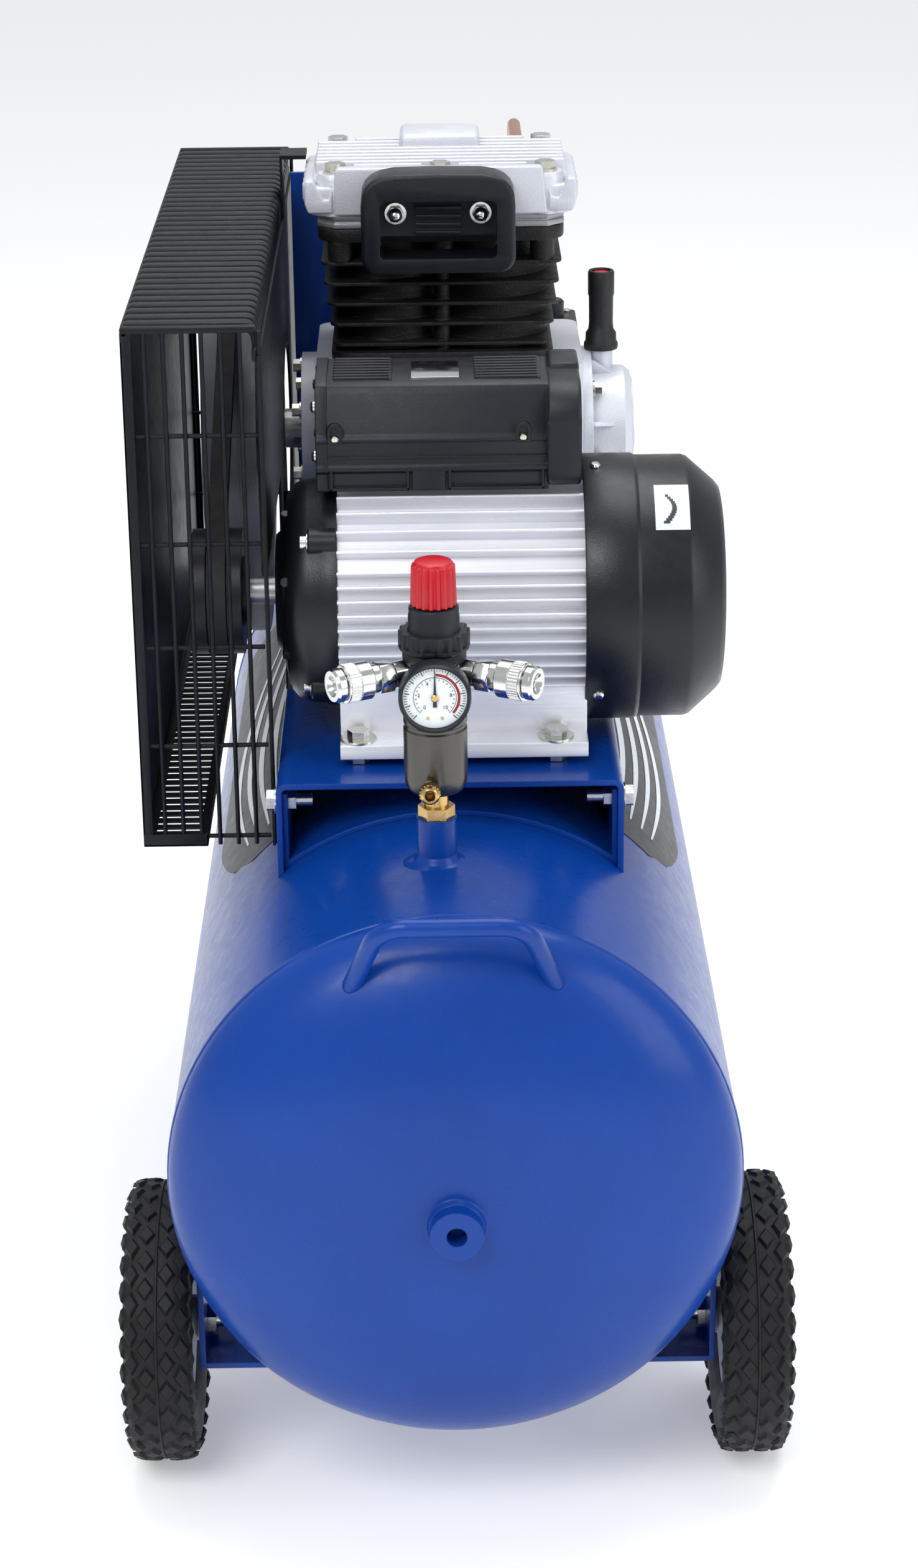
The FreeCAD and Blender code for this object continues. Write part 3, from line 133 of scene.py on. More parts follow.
def block(low, high, soft=0, segments=2):
    low, high = Vector(low), Vector(high)
    bm = bmesh.new()
    bmesh.ops.create_cube(bm, size=1)
    bmesh.ops.scale(bm, vec=high - low, verts=bm.verts)
    bmesh.ops.translate(bm, vec=(low + high) / 2, verts=bm.verts)
    if soft:
        softened(bm, soft, segments)
    return bm


def rod(radius, start, end, sides=12):
    start, end = Vector(start), Vector(end)
    bm = bmesh.new()
    bmesh.ops.create_cone(bm, cap_ends=True, segments=sides, radius1=radius, radius2=radius,
                          depth=(end - start).length)
    return moved(bm, (start + end) / 2, end - start)


def ball(radius, place, flat=1.0, axis="z"):
    bm = bmesh.new()
    bmesh.ops.create_uvsphere(bm, u_segments=20, v_segments=12, radius=radius)
    bmesh.ops.scale(bm, vec=(1, 1, flat), verts=bm.verts)
    return moved(bm, place, axis)


def ring_outline(points, radius_at):
    """Points round a circle whose radius follows a rule of the point's number."""
    spots = []
    for number in range(points):
        angle = FULL * number / points
        radius = radius_at(number)
        spots.append((radius * math.cos(angle), radius * math.sin(angle)))
    return spots


def round_box(width, height, radius, centre=(0, 0), steps=6):
    """Outline of a rectangle with round corners."""
    spots = []
    for turn, (sign_x, sign_y) in enumerate(((1, 1), (-1, 1), (-1, -1), (1, -1))):
        for step in range(steps + 1):
            angle = math.radians(90) * (turn + step / steps)
            spots.append((centre[0] + sign_x * (width / 2 - radius) + radius * math.cos(angle),
                          centre[1] + sign_y * (height / 2 - radius) + radius * math.sin(angle)))
    return spots


def prism(outline, low, high, along, soft=0, segments=2):
    """Extrude an outline given in the two other axes, in their XYZ order, from low to high along an axis."""
    place = {"x": lambda a, b: (low, a, b), "y": lambda a, b: (a, low, b), "z": lambda a, b: (a, b, low)}
    bm = bmesh.new()
    face = bm.faces.new([bm.verts.new(place[along](a, b)) for a, b in outline])
    grown = bmesh.ops.extrude_face_region(bm, geom=[face])
    far = [item for item in grown["geom"] if isinstance(item, bmesh.types.BMVert)]
    way = Vector([(high - low) * (axis == along) for axis in "xyz"])
    bmesh.ops.translate(bm, vec=way, verts=far)
    bmesh.ops.recalc_face_normals(bm, faces=bm.faces)
    if soft:
        softened(bm, soft, segments)
    return bm


def wrapped(rows, radius, centre, along, steps=10):
    """A thin patch bent round a cylinder. Rows are (place along the axis, low turn, high turn)."""
    bm = bmesh.new()
    lines = []
    for spot, low, high in rows:
        line = []
        for step in range(steps + 1):
            turn = math.radians(low + (high - low) * step / steps)
            out, up = radius * math.cos(turn), radius * math.sin(turn)
            if along == "x":
                line.append(bm.verts.new((spot, centre[0] - out, centre[1] + up)))
            else:
                line.append(bm.verts.new((centre[0] + out, spot, centre[1] + up)))
        lines.append([bm.edges.new(pair) for pair in zip(line, line[1:])])
    for before, after in zip(lines, lines[1:]):
        bmesh.ops.bridge_loops(bm, edges=before + after)
    bmesh.ops.recalc_face_normals(bm, faces=bm.faces)
    if sum(face.normal.dot(face.calc_center_median() - Vector(
            (face.calc_center_median().x, *centre) if along == "x"
            else (centre[0], face.calc_center_median().y, centre[1]))) for face in bm.faces) < 0:
        bmesh.ops.reverse_faces(bm, faces=bm.faces)
    return bm


def drilled(bm, tools):
    """Cut the tools out of a shape with an exact boolean."""
    for shape in [bm] + tools:
        if shape.calc_volume(signed=True) < 0:
            bmesh.ops.reverse_faces(shape, faces=shape.faces)
    base = as_object("drilled_base", bm)
    knife = as_object("drilled_knife", merged(tools))
    cut = base.modifiers.new("cut", "BOOLEAN")
    cut.operation = "DIFFERENCE"
    cut.solver = "EXACT"
    cut.use_self = True
    cut.object = knife
    graph = bpy.context.evaluated_depsgraph_get()
    mesh = bpy.data.meshes.new_from_object(base.evaluated_get(graph))
    result = bmesh.new()
    result.from_mesh(mesh)
    bpy.data.meshes.remove(mesh)
    for thing in (base, knife):
        data = thing.data
        bpy.data.objects.remove(thing)
        bpy.data.meshes.remove(data)
    return result


def merged(shapes):
    whole = bmesh.new()
    for shape in shapes:
        mesh = bpy.data.meshes.new("shape")
        shape.to_mesh(mesh)
        whole.from_mesh(mesh)
        bpy.data.meshes.remove(mesh)
        shape.free()
    return whole


def as_object(name, bm):
    mesh = bpy.data.meshes.new(name)
    bm.to_mesh(mesh)
    bm.free()
    thing = bpy.data.objects.new(name, mesh)
    bpy.context.scene.collection.objects.link(thing)
    return thing


def piece(name, shapes, material, body="root", stands_for=(), smooth=32):
    """Finish a piece: one mesh at the origin, its finish, the body it rides on and the node it stands for."""
    whole = merged(shapes)
    bmesh.ops.scale(whole, vec=(MM, MM, MM), verts=whole.verts)
    thing = as_object(name, whole)
    thing.data.materials.append(material)
    thing.data.shade_smooth()
    thing.data.set_sharp_from_angle(angle=math.radians(smooth))
    if stands_for:
        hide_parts(*stands_for)
    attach(thing, body)
    return thing


# ------------------------------------------------------------------ finishes
def add_node(tree, kind, **values):
    node = tree.nodes.new(kind)
    for name, value in values.items():
        if name in node.inputs:
            node.inputs[name].default_value = value
        else:
            setattr(node, name, value)
    return node


def mixed(tree, low, high, factor):
    """A colour between two, by a mask."""
    mix = tree.nodes.new("ShaderNodeMix")
    mix.data_type = "RGBA"
    for socket, value in ((mix.inputs[6], low), (mix.inputs[7], high)):
        if isinstance(value, bpy.types.NodeSocket):
            tree.links.new(value, socket)
        else:
            socket.default_value = (*value, 1)
    tree.links.new(factor, mix.inputs[0])
    return mix.outputs[2]


def ranged(tree, source, low, high, from_low=0.0, from_high=1.0):
    """A number between two, by a mask."""
    node = tree.nodes.new("ShaderNodeMapRange")
    node.inputs["From Min"].default_value = from_low
    node.inputs["From Max"].default_value = from_high
    node.inputs["To Min"].default_value = low
    node.inputs["To Max"].default_value = high
    tree.links.new(source, node.inputs["Value"])
    return node.outputs[0]


def product(tree, one, other):
    """One mask times another."""
    node = add_node(tree, "ShaderNodeMath", operation="MULTIPLY")
    tree.links.new(one, node.inputs[0])
    tree.links.new(other, node.inputs[1])
    return node.outputs[0]


# Where the wear and dust masks start and end: bend of the surface, noise level and upward slope.
EDGE_BEND, EDGE_BREAK, DUST_SLOPE = (0.985, 0.9), (0.5, 0.66), (0.35, 1.0)
DUST_TINT = (0.36, 0.34, 0.31)


def surface_group():
    """Masks and a normal shared by every finish: round edges, grain, mottle, worn edges and dust."""
    tree = bpy.data.node_groups.new("surface_detail", "ShaderNodeTree")
    for name, default in (("Grain Size", 400.0), ("Grain Depth", 0.2), ("Edge Radius", 0.0008),
                          ("Stretch", 1.0)):
        socket = tree.interface.new_socket(name, in_out="INPUT", socket_type="NodeSocketFloat")
        socket.default_value = default
    tree.interface.new_socket("Normal", in_out="OUTPUT", socket_type="NodeSocketVector")
    for name in ("Mottle", "Fine", "Edge", "Dust"):
        tree.interface.new_socket(name, in_out="OUTPUT", socket_type="NodeSocketFloat")
    inside = tree.nodes.new("NodeGroupInput")
    out = tree.nodes.new("NodeGroupOutput")
    link = tree.links.new
    where = add_node(tree, "ShaderNodeTexCoord")
    scaled = add_node(tree, "ShaderNodeCombineXYZ", Y=1.0, Z=1.0)
    link(inside.outputs["Stretch"], scaled.inputs["X"])
    spread = add_node(tree, "ShaderNodeVectorMath", operation="MULTIPLY")
    link(where.outputs["Object"], spread.inputs[0])
    link(scaled.outputs[0], spread.inputs[1])
    grain = add_node(tree, "ShaderNodeTexNoise", Detail=3.0, Roughness=0.6)
    link(spread.outputs[0], grain.inputs["Vector"])
    link(inside.outputs["Grain Size"], grain.inputs["Scale"])
    rounding = add_node(tree, "ShaderNodeBevel", samples=4)
    link(inside.outputs["Edge Radius"], rounding.inputs["Radius"])
    bump = add_node(tree, "ShaderNodeBump", Distance=0.0006)
    link(inside.outputs["Grain Depth"], bump.inputs["Strength"])
    link(grain.outputs["Fac"], bump.inputs["Height"])
    link(rounding.outputs[0], bump.inputs["Normal"])
    link(bump.outputs[0], out.inputs["Normal"])
    mottle = add_node(tree, "ShaderNodeTexNoise", Scale=7.0, Detail=5.0, Roughness=0.55)
    link(where.outputs["Object"], mottle.inputs["Vector"])
    link(mottle.outputs["Fac"], out.inputs["Mottle"])
    fine = add_node(tree, "ShaderNodeTexNoise", Scale=90.0, Detail=6.0, Roughness=0.65)
    link(spread.outputs[0], fine.inputs["Vector"])
    link(fine.outputs["Fac"], out.inputs["Fine"])
    shape = add_node(tree, "ShaderNodeNewGeometry")
    facing = add_node(tree, "ShaderNodeVectorMath", operation="DOT_PRODUCT")
    wide = add_node(tree, "ShaderNodeBevel", samples=4, Radius=0.0016)
    link(wide.outputs[0], facing.inputs[0])
    link(shape.outputs["Normal"], facing.inputs[1])
    worn = ranged(tree, facing.outputs["Value"], 0, 1, *EDGE_BEND)
    broken = ranged(tree, fine.outputs["Fac"], 0, 1, *EDGE_BREAK)
    link(product(tree, worn, broken), out.inputs["Edge"])
    upward = add_node(tree, "ShaderNodeSeparateXYZ")
    link(shape.outputs["Normal"], upward.inputs[0])
    lying = ranged(tree, upward.outputs["Z"], 0, 1, *DUST_SLOPE)
    link(product(tree, lying, mottle.outputs["Fac"]), out.inputs["Dust"])
    return tree


SURFACE = surface_group()


def finish(name, colour, shade=None, rough=(0.3, 0.45), metal=0.0, grain=400.0, depth=0.15, edge=0.0008,
           stretch=1.0, worn=None, worn_share=0.5, dust=0.0, coat=0.0, coat_rough=0.08, specular=0.5):
    """A coated or bare material: two tones by mottle, roughness by fine noise, worn edges and dust."""
    material = bpy.data.materials.new(name)
    material.use_nodes = True
    tree = material.node_tree
    shader = tree.nodes["Principled BSDF"]
    detail = tree.nodes.new("ShaderNodeGroup")
    detail.node_tree = SURFACE
    for socket, value in (("Grain Size", grain), ("Grain Depth", depth), ("Edge Radius", edge),
                          ("Stretch", stretch)):
        detail.inputs[socket].default_value = value
    toned = mixed(tree, colour, shade or tuple(part * 0.8 for part in colour),
                  ranged(tree, detail.outputs["Mottle"], 0, 1, 0.35, 0.65))
    roughness = ranged(tree, detail.outputs["Fine"], rough[0], rough[1], 0.3, 0.7)
    if dust:
        amount = ranged(tree, detail.outputs["Dust"], 0, dust, 0.1, 0.7)
        toned = mixed(tree, toned, DUST_TINT, amount)
    if worn:
        amount = ranged(tree, detail.outputs["Edge"], 0, worn_share)
        toned = mixed(tree, toned, worn, amount)
    tree.links.new(toned, shader.inputs["Base Color"])
    tree.links.new(roughness, shader.inputs["Roughness"])
    tree.links.new(detail.outputs["Normal"], shader.inputs["Normal"])
    shader.inputs["Metallic"].default_value = metal
    shader.inputs["Coat Weight"].default_value = coat
    shader.inputs["Coat Roughness"].default_value = coat_rough
    shader.inputs["Specular IOR Level"].default_value = specular
    return material


blue_paint = finish("blue_paint", (0.0015, 0.049, 0.31), (0.0015, 0.04, 0.265), rough=(0.24, 0.34), grain=260,
                    depth=0.05, edge=0.0014, worn=(0.04, 0.11, 0.42), worn_share=0.35, coat=0.06,
                    coat_rough=0.1, specular=0.27)
black_powder = finish("black_powder", (0.0035, 0.004, 0.006), (0.006, 0.007, 0.01), rough=(0.36, 0.48),
                      grain=900, depth=0.25, worn=(0.06, 0.06, 0.065), worn_share=0.3, dust=0.006,
                      specular=0.25)
motor_black = finish("motor_black", (0.005, 0.006, 0.008), (0.008, 0.009, 0.012), rough=(0.26, 0.38),
                     grain=1100, depth=0.22, worn=(0.07, 0.07, 0.08), worn_share=0.3, dust=0.012,
                     specular=0.38)
cast_black = finish("cast_black", (0.006, 0.0055, 0.0055), (0.011, 0.01, 0.009), rough=(0.38, 0.56),
                    grain=520, depth=0.8, worn=(0.1, 0.09, 0.08), worn_share=0.5, dust=0.02, specular=0.35)
cast_silver = finish("cast_silver", (0.72, 0.735, 0.79), (0.62, 0.635, 0.7), rough=(0.34, 0.5), metal=0.35,
                     grain=700, depth=0.45, worn=(0.85, 0.86, 0.88), worn_share=0.6)
drawn_silver = finish("drawn_silver", (0.86, 0.87, 0.9), (0.76, 0.77, 0.82), rough=(0.22, 0.36), metal=0.5,
                      grain=900, depth=0.12, stretch=0.02, worn=(0.92, 0.92, 0.93), worn_share=0.5)
zinc = finish("zinc", (0.7, 0.71, 0.68), (0.62, 0.6, 0.5), rough=(0.18, 0.34), metal=1.0, grain=700,
              depth=0.1, edge=0.0004, worn=(0.35, 0.33, 0.28), worn_share=0.3)
chrome = finish("chrome", (0.78, 0.78, 0.77), (0.7, 0.7, 0.69), rough=(0.08, 0.2), metal=1.0, grain=900,
                depth=0.05, edge=0.0003)
steel = finish("steel", (0.52, 0.52, 0.53), (0.42, 0.42, 0.43), rough=(0.24, 0.4), metal=1.0, grain=600,
               depth=0.15)
iron_grey = finish("iron_grey", (0.4, 0.41, 0.43), (0.3, 0.31, 0.33), rough=(0.3, 0.48), metal=0.7,
                   grain=500, depth=0.35, worn=(0.6, 0.6, 0.6), worn_share=0.5)
brass = finish("brass", (0.72, 0.5, 0.2), (0.6, 0.4, 0.15), rough=(0.16, 0.32), metal=1.0, grain=700,
               depth=0.1, edge=0.0004, worn=(0.85, 0.68, 0.35), worn_share=0.5)
copper = finish("copper", (0.7, 0.38, 0.24), (0.5, 0.25, 0.16), rough=(0.2, 0.4), metal=1.0, grain=300,
                depth=0.1)
red_cap = finish("red_cap", (0.62, 0.006, 0.02), (0.5, 0.004, 0.015), rough=(0.25, 0.36), grain=1400,
                 depth=0.15, edge=0.0005, worn=(0.8, 0.12, 0.12), worn_share=0.3)
black_plastic = finish("black_plastic", (0.004, 0.005, 0.009), (0.006, 0.008, 0.013), rough=(0.3, 0.42),
                       grain=1500, depth=0.35, edge=0.0006, worn=(0.04, 0.04, 0.04), worn_share=0.3,
                       dust=0.015, specular=0.38)
bowl_metal = finish("bowl_metal", (0.12, 0.115, 0.105), (0.09, 0.087, 0.08), rough=(0.2, 0.32), metal=0.85,
                    grain=900, depth=0.1)
tyre_rubber = finish("tyre_rubber", (0.006, 0.006, 0.0065), (0.011, 0.011, 0.012), rough=(0.45, 0.65),
                     grain=650, depth=0.5, worn=(0.045, 0.043, 0.04), worn_share=0.6, dust=0.03, specular=0.3)
foot_rubber = finish("foot_rubber", (0.007, 0.007, 0.008), rough=(0.45, 0.65), grain=600, depth=0.4)
belt_rubber = finish("belt_rubber", (0.01, 0.01, 0.011), (0.02, 0.02, 0.02), rough=(0.5, 0.7), grain=1200,
                     depth=0.5)
rim_paint = finish("rim_paint", (0.5, 0.51, 0.52), (0.42, 0.43, 0.44), rough=(0.3, 0.45), metal=0.4,
                   grain=600, depth=0.15, worn=(0.25, 0.24, 0.22), worn_share=0.4)
dial_white = finish("dial_white", (0.86, 0.9, 0.92), (0.82, 0.87, 0.9), rough=(0.3, 0.4), grain=1500,
                    depth=0.02)
dial_red = finish("dial_red", (0.6, 0.03, 0.05), rough=(0.35, 0.45), grain=1500, depth=0.02)
ink = finish("ink", (0.02, 0.02, 0.025), rough=(0.4, 0.5), grain=1500, depth=0.02)
pale_label = finish("pale_label", (0.7, 0.8, 0.86), (0.62, 0.74, 0.82), rough=(0.25, 0.35), grain=600,
                    depth=0.03)
decal_grey = finish("decal_grey", (0.03, 0.033, 0.04), (0.022, 0.025, 0.03), rough=(0.35, 0.45), grain=500,
                    depth=0.03, specular=0.3)
decal_white = finish("decal_white", (0.75, 0.8, 0.86), rough=(0.25, 0.35), grain=500, depth=0.02, coat=0.3)


SLOT_FINISH = {
    "tank_blue": blue_paint, "guard_black": black_powder, "motor_black": motor_black,
    "cast_black": cast_black, "cast_aluminium": cast_silver, "extruded_aluminium": drawn_silver,
    "zinc": zinc, "chrome": chrome, "steel": steel, "flywheel_grey": iron_grey, "brass": brass,
    "red_plastic": red_cap, "black_plastic": black_plastic, "bowl_grey": bowl_metal,
    "rubber": foot_rubber, "tyre": tyre_rubber, "rim_grey": rim_paint, "copper_line": copper,
}
for row in frame["record"]["subparts"]:
    node = frame["nodes"][row["node"]]
    if not node.material_slots:
        node.data.materials.append(SLOT_FINISH[row["material_slot"]])
    for holder in node.material_slots:
        holder.material = SLOT_FINISH[row["material_slot"]]
frame["nodes"]["drive_belt"].material_slots[0].material = belt_rubber

# ------------------------------------------------------------------ belt guard
GUARD_LEFT, GUARD_RIGHT = span("guard_shell", "x")
GUARD_FRONT, GUARD_REAR = span("guard_shell", "y")
GUARD_LOW, GUARD_TOP = span("guard_shell", "z")
RIB_PITCH, RIB_WIDTH = 16.6, 11.5
RIM_WIDTH, RIM_PITCH = 44, 12


def guard_ribs():
    """Round-backed ribs across the roof, each turned down at its inner end."""
    outline = [(GUARD_LEFT - 1, GUARD_TOP - 6), (GUARD_LEFT + 1, GUARD_TOP - 1), (GUARD_LEFT + 4, GUARD_TOP)]
    outline += [(GUARD_RIGHT - 8 + 8 * math.sin(math.radians(a)),
                 GUARD_TOP - 8 + 8 * math.cos(math.radians(a)))
                for a in (0, 22, 45, 68, 90)]
    outline += [(GUARD_RIGHT, GUARD_TOP - 21), (GUARD_RIGHT - 2.5, GUARD_TOP - 21),
                (GUARD_RIGHT - 4, GUARD_TOP - 9), (GUARD_RIGHT - 9, GUARD_TOP - 4),
                (GUARD_LEFT + 3, GUARD_TOP - 4)]
    count = int((GUARD_REAR - GUARD_FRONT - 14) / RIB_PITCH)
    first = GUARD_FRONT + 9
    return [prism(outline, first + RIB_PITCH * i, first + RIB_PITCH * i + RIB_WIDTH, "y", 1.6)
            for i in range(count)]


def guard_sheet():
    """The closed outer side with its pressed lines, its flanges and the roof's edge strips."""
    side = prism(round_box(GUARD_REAR - GUARD_FRONT, GUARD_TOP - GUARD_LOW - 1, 9,
                           ((GUARD_FRONT + GUARD_REAR) / 2, (GUARD_TOP + GUARD_LOW - 1) / 2)),
                 GUARD_LEFT, GUARD_LEFT + 1.6, "x", 0.5)
    lines = [block((GUARD_LEFT - 0.9, GUARD_FRONT + 14, z - 1.3),
                   (GUARD_LEFT + 0.5, GUARD_REAR - 14, z + 1.3), 0.6)
             for z in range(int(GUARD_LOW) + 42, int(GUARD_TOP) - 30, 36)]
    ends = []
    for y, inward in ((GUARD_FRONT, 1), (GUARD_REAR, -1)):
        low, high = sorted((y, y + inward * 1.6))
        ends.append(block((GUARD_LEFT, low, GUARD_LOW + 8), (GUARD_LEFT + 7, high, GUARD_TOP - 4), 0.5))
        low, high = sorted((y, y + inward * 7))
        ends.append(block((GUARD_LEFT, low, GUARD_TOP - 5), (GUARD_RIGHT, high, GUARD_TOP - 0.5), 1.4))
    strip = block((GUARD_LEFT + 0.5, GUARD_FRONT, GUARD_TOP - 7),
                  (GUARD_LEFT + 5, GUARD_REAR, GUARD_TOP - 3), 1)
    inner = block((GUARD_RIGHT - 3.2, GUARD_FRONT, GUARD_TOP - 24),
                  (GUARD_RIGHT - 0.4, GUARD_REAR, GUARD_TOP - 16), 0.8)
    return [side, strip, inner] + lines + ends


def guard_rim():
    """The slotted strip under the drive, with a lip round it."""
    right = GUARD_LEFT + RIM_WIDTH
    bars = []
    y = GUARD_FRONT + 6
    while y < GUARD_REAR - 8:
        bars.append(block((GUARD_LEFT + 5, y, GUARD_LOW), (right - 5, y + 6.5, GUARD_LOW + 2), 0.5, 1))
        y += RIM_PITCH
    edges = [block((GUARD_LEFT, GUARD_FRONT, GUARD_LOW), (GUARD_LEFT + 7, GUARD_REAR, GUARD_LOW + 2.2), 0.7),
             block((right - 7, GUARD_FRONT, GUARD_LOW), (right, GUARD_REAR, GUARD_LOW + 2.2), 0.7),
             block((right - 1.6, GUARD_FRONT, GUARD_LOW), (right, GUARD_REAR, GUARD_LOW + 10), 0.6)]
    for y in (GUARD_FRONT, GUARD_REAR - 7):
        edges.append(block((GUARD_LEFT, y, GUARD_LOW), (right, y + 7, GUARD_LOW + 2.2), 0.7))
    edges.append(block((GUARD_LEFT, GUARD_FRONT, GUARD_LOW), (right, GUARD_FRONT + 1.6, GUARD_LOW + 9), 0.6))
    return bars + edges


WIRE = 1.55
WIRE_XS = [GUARD_LEFT + 2.6 + 12.4 * i for i in range(8)]
WIRE_ZS = (GUARD_LOW + 6, 472, 542, 614, 688, GUARD_TOP - 4)


def guard_lattice():
    """Round wires welded across both ends of the guard."""
    wires = []
    for y in (GUARD_FRONT + 2.2, GUARD_REAR - 2.2):
        out = -1 if y < 0 else 1
        for x in WIRE_XS:
            wires.append(rod(WIRE, (x, y, GUARD_LOW + 1), (x, y, GUARD_TOP - 4), 10))
        for z in WIRE_ZS:
            wires.append(rod(WIRE, (GUARD_LEFT + 1, y - out * 2.4, z), (GUARD_RIGHT - 1, y - out * 2.4, z),
                             10))
        wires += [ball(1.9, (x, y - out * 1.2, z)) for x in WIRE_XS[1:-1:2] for z in WIRE_ZS[1:-1]]
    return wires


piece("guard_sheet_ribs", guard_ribs() + guard_sheet() + guard_rim(), black_powder,
      stands_for=("guard_shell",))
piece("guard_wires", guard_lattice(), black_powder, stands_for=("guard_grille",))

# ------------------------------------------------------------------ motor
SHAFT_Y, SHAFT_Z = middle("motor_end_shield").yz
HOUSING_LEFT, HOUSING_RIGHT = span("motor_housing", "x")
FOOT_LOW = corner("motor_housing").z
FIN_TIP, FIN_ROOT = 86.8, 76


def housing_section():
    """The barrel with its fins: wide pale lands near the top and closer fins lower down."""
    spots = []
    angle = -128.0
    while angle < 128:
        pitch = 9.6 if abs(angle) < 66 else 6.4
        for offset, radius in ((-pitch, FIN_ROOT), (-2.3, FIN_ROOT), (-1.8, FIN_TIP - 0.6), (-1.4, FIN_TIP),
                               (-0.8, FIN_TIP), (-0.4, FIN_TIP - 0.6), (-0.02, FIN_ROOT)):
            turn = math.radians(angle + pitch + offset)
            spots.append((SHAFT_Y + radius * math.sin(turn), SHAFT_Z + radius * math.cos(turn)))
        angle += pitch
    base = [(70, 511), (70, FOOT_LOW + 10.5), (91, FOOT_LOW + 10), (92, FOOT_LOW + 9), (92, FOOT_LOW)]
    spots += [(SHAFT_Y + y, z) for y, z in base]
    spots += [(SHAFT_Y - y, z) for y, z in reversed(base)]
    return spots


piece("motor_fins", [prism(housing_section(), HOUSING_LEFT, HOUSING_RIGHT - 0.5, "x", 0.5, 1)], drawn_silver,
      stands_for=("motor_housing",), smooth=24)

FOOT_BOLT_Y = 80
FOOT_WASHER = [(8.6, 0), (12.2, 0), (12.2, 1.5), (8.6, 1.7)]
piece("foot_washers",
      [lathe(FOOT_WASHER, (x, SHAFT_Y + row * FOOT_BOLT_Y, FOOT_LOW + 10), "z", 48, closed=True)
                       for x in (HOUSING_LEFT + 12, HOUSING_RIGHT - 22) for row in (-1, 1)], zinc)


def bell():
    """The drive-end shield: a round-shouldered casting with a bearing boss, bolt lugs and ribs."""
    depth = HOUSING_LEFT - corner("motor_end_shield").x
    profile = [(0, 0), (79, 0), (79, 8), (77.5, 11), (77, 20), (73.5, 29), (66, 35), (55, 37), (46, 37.5),
               (42, 39), (40, depth - 1.5), (38.5, depth), (24, depth), (23, depth - 2), (12, depth - 2),
               (12, depth - 6), (0, depth - 6)]
    shapes = [lathe(profile, (HOUSING_LEFT, SHAFT_Y, SHAFT_Z), "-x", 96)]
    for turn in range(8):
        angle = math.radians(22.5 + 45 * turn)
        out = Vector((0, math.sin(angle), math.cos(angle)))
        low = Vector((HOUSING_LEFT - 35, SHAFT_Y, SHAFT_Z)) + out * 44
        shapes.append(rod(3.2, low, low + out * 24, 10))
    return shapes


def bell_bolts(radius, turns, x, head):
    shapes = []
    for turn in turns:
        angle = math.radians(turn)
        y, z = SHAFT_Y + radius * math.sin(angle), SHAFT_Z + radius * math.cos(angle)
        shapes.append(lathe([(0, 0), (head + 1.6, 0), (head + 1.6, 1.2), (0, 1.2)], (x, y, z), "-x", 24))
        shapes.append(plate(ring_outline(6, lambda n: head), 5, (x - 1, y, z), "-x", 0.5, 1))
    return shapes


LUG_TURNS, LUG_RADIUS = (-47, 47, 133, -133), 74
lugs = []
for turn in LUG_TURNS:
    lean = math.radians(turn)
    lug_y, lug_z = SHAFT_Y + LUG_RADIUS * math.sin(lean), SHAFT_Z + LUG_RADIUS * math.cos(lean)
    lugs.append(lathe([(0, 0), (9.5, 0), (9.5, 18), (8.5, 19), (0, 19)], (HOUSING_LEFT - 0.5, lug_y, lug_z),
                      "-x", 32))
piece("motor_bell", bell() + lugs, motor_black, stands_for=("motor_end_shield",))
piece("motor_bell_bolts", bell_bolts(LUG_RADIUS, LUG_TURNS, HOUSING_LEFT - 19, 5), zinc)

COWL_LEFT, COWL_RIGHT = span("fan_cowl", "x")
COWL_RADIUS = extent("fan_cowl").z / 2
VENT_RADIUS = 66


def cowl_end(radius):
    """How far the shallow bulge of the end has fallen at a radius."""
    return COWL_RIGHT - 3.5 * (radius / VENT_RADIUS) ** 2


def cowl():
    """A spun can: a shallow step round its middle, a bevelled shoulder and a ringed vent in its end."""
    r, left = COWL_RADIUS, COWL_LEFT
    profile = [(r - 3, left), (r - 0.8, left), (r, left + 1.5), (r, left + 34), (r - 0.4, left + 35.5),
               (r - 1.4, left + 37), (r - 1.4, left + 69), (r - 2.6, left + 72.5),
               (VENT_RADIUS + 6, left + 91),
               (VENT_RADIUS + 2, cowl_end(VENT_RADIUS) - 0.3), (VENT_RADIUS, cowl_end(VENT_RADIUS)),
               (VENT_RADIUS, cowl_end(VENT_RADIUS) - 2.5), (VENT_RADIUS + 4, left + 89), (r - 4.5, left + 70),
               (r - 3, left + 66)]
    profile = [(radius, height - left) for radius, height in profile]
    place = (left, SHAFT_Y, SHAFT_Z)
    shapes = [lathe(profile, place, "x", 128, closed=True)]
    for radius in range(14, VENT_RADIUS, 8):
        top = cowl_end(radius) - left
        ring = [(radius - 2.4, top - 2.4), (radius - 2.4, top - 0.4), (radius - 1.8, top),
                (radius + 1.8, top),
                (radius + 2.4, top - 0.4), (radius + 2.4, top - 2.4)]
        shapes.append(lathe(ring, place, "x", 72, closed=True))
    hub = cowl_end(0) - left
    shapes.append(lathe([(0, hub - 2.4), (9, hub - 2.4), (9, hub - 0.5), (8, hub), (0, hub)], place, "x", 48))
    for turn in range(6):
        angle = math.radians(60 * turn + 30)
        out = Vector((0, math.sin(angle), math.cos(angle)))
        start = Vector((cowl_end(8) - 2.4, SHAFT_Y, SHAFT_Z)) + out * 8
        end = Vector((cowl_end(VENT_RADIUS) - 2.4, SHAFT_Y, SHAFT_Z)) + out * (VENT_RADIUS + 1)
        shapes.append(rod(1.9, start, end, 8))
    return shapes


def on_cowl(x_low, x_high, turn_low, turn_high, lift=0.35):
    """A patch lying on the cowl; turns are degrees above the front."""
    return wrapped([(x_low, turn_low, turn_high), (x_high, turn_low, turn_high)], COWL_RADIUS - 1.4 + lift,
                   (SHAFT_Y, SHAFT_Z), "x")


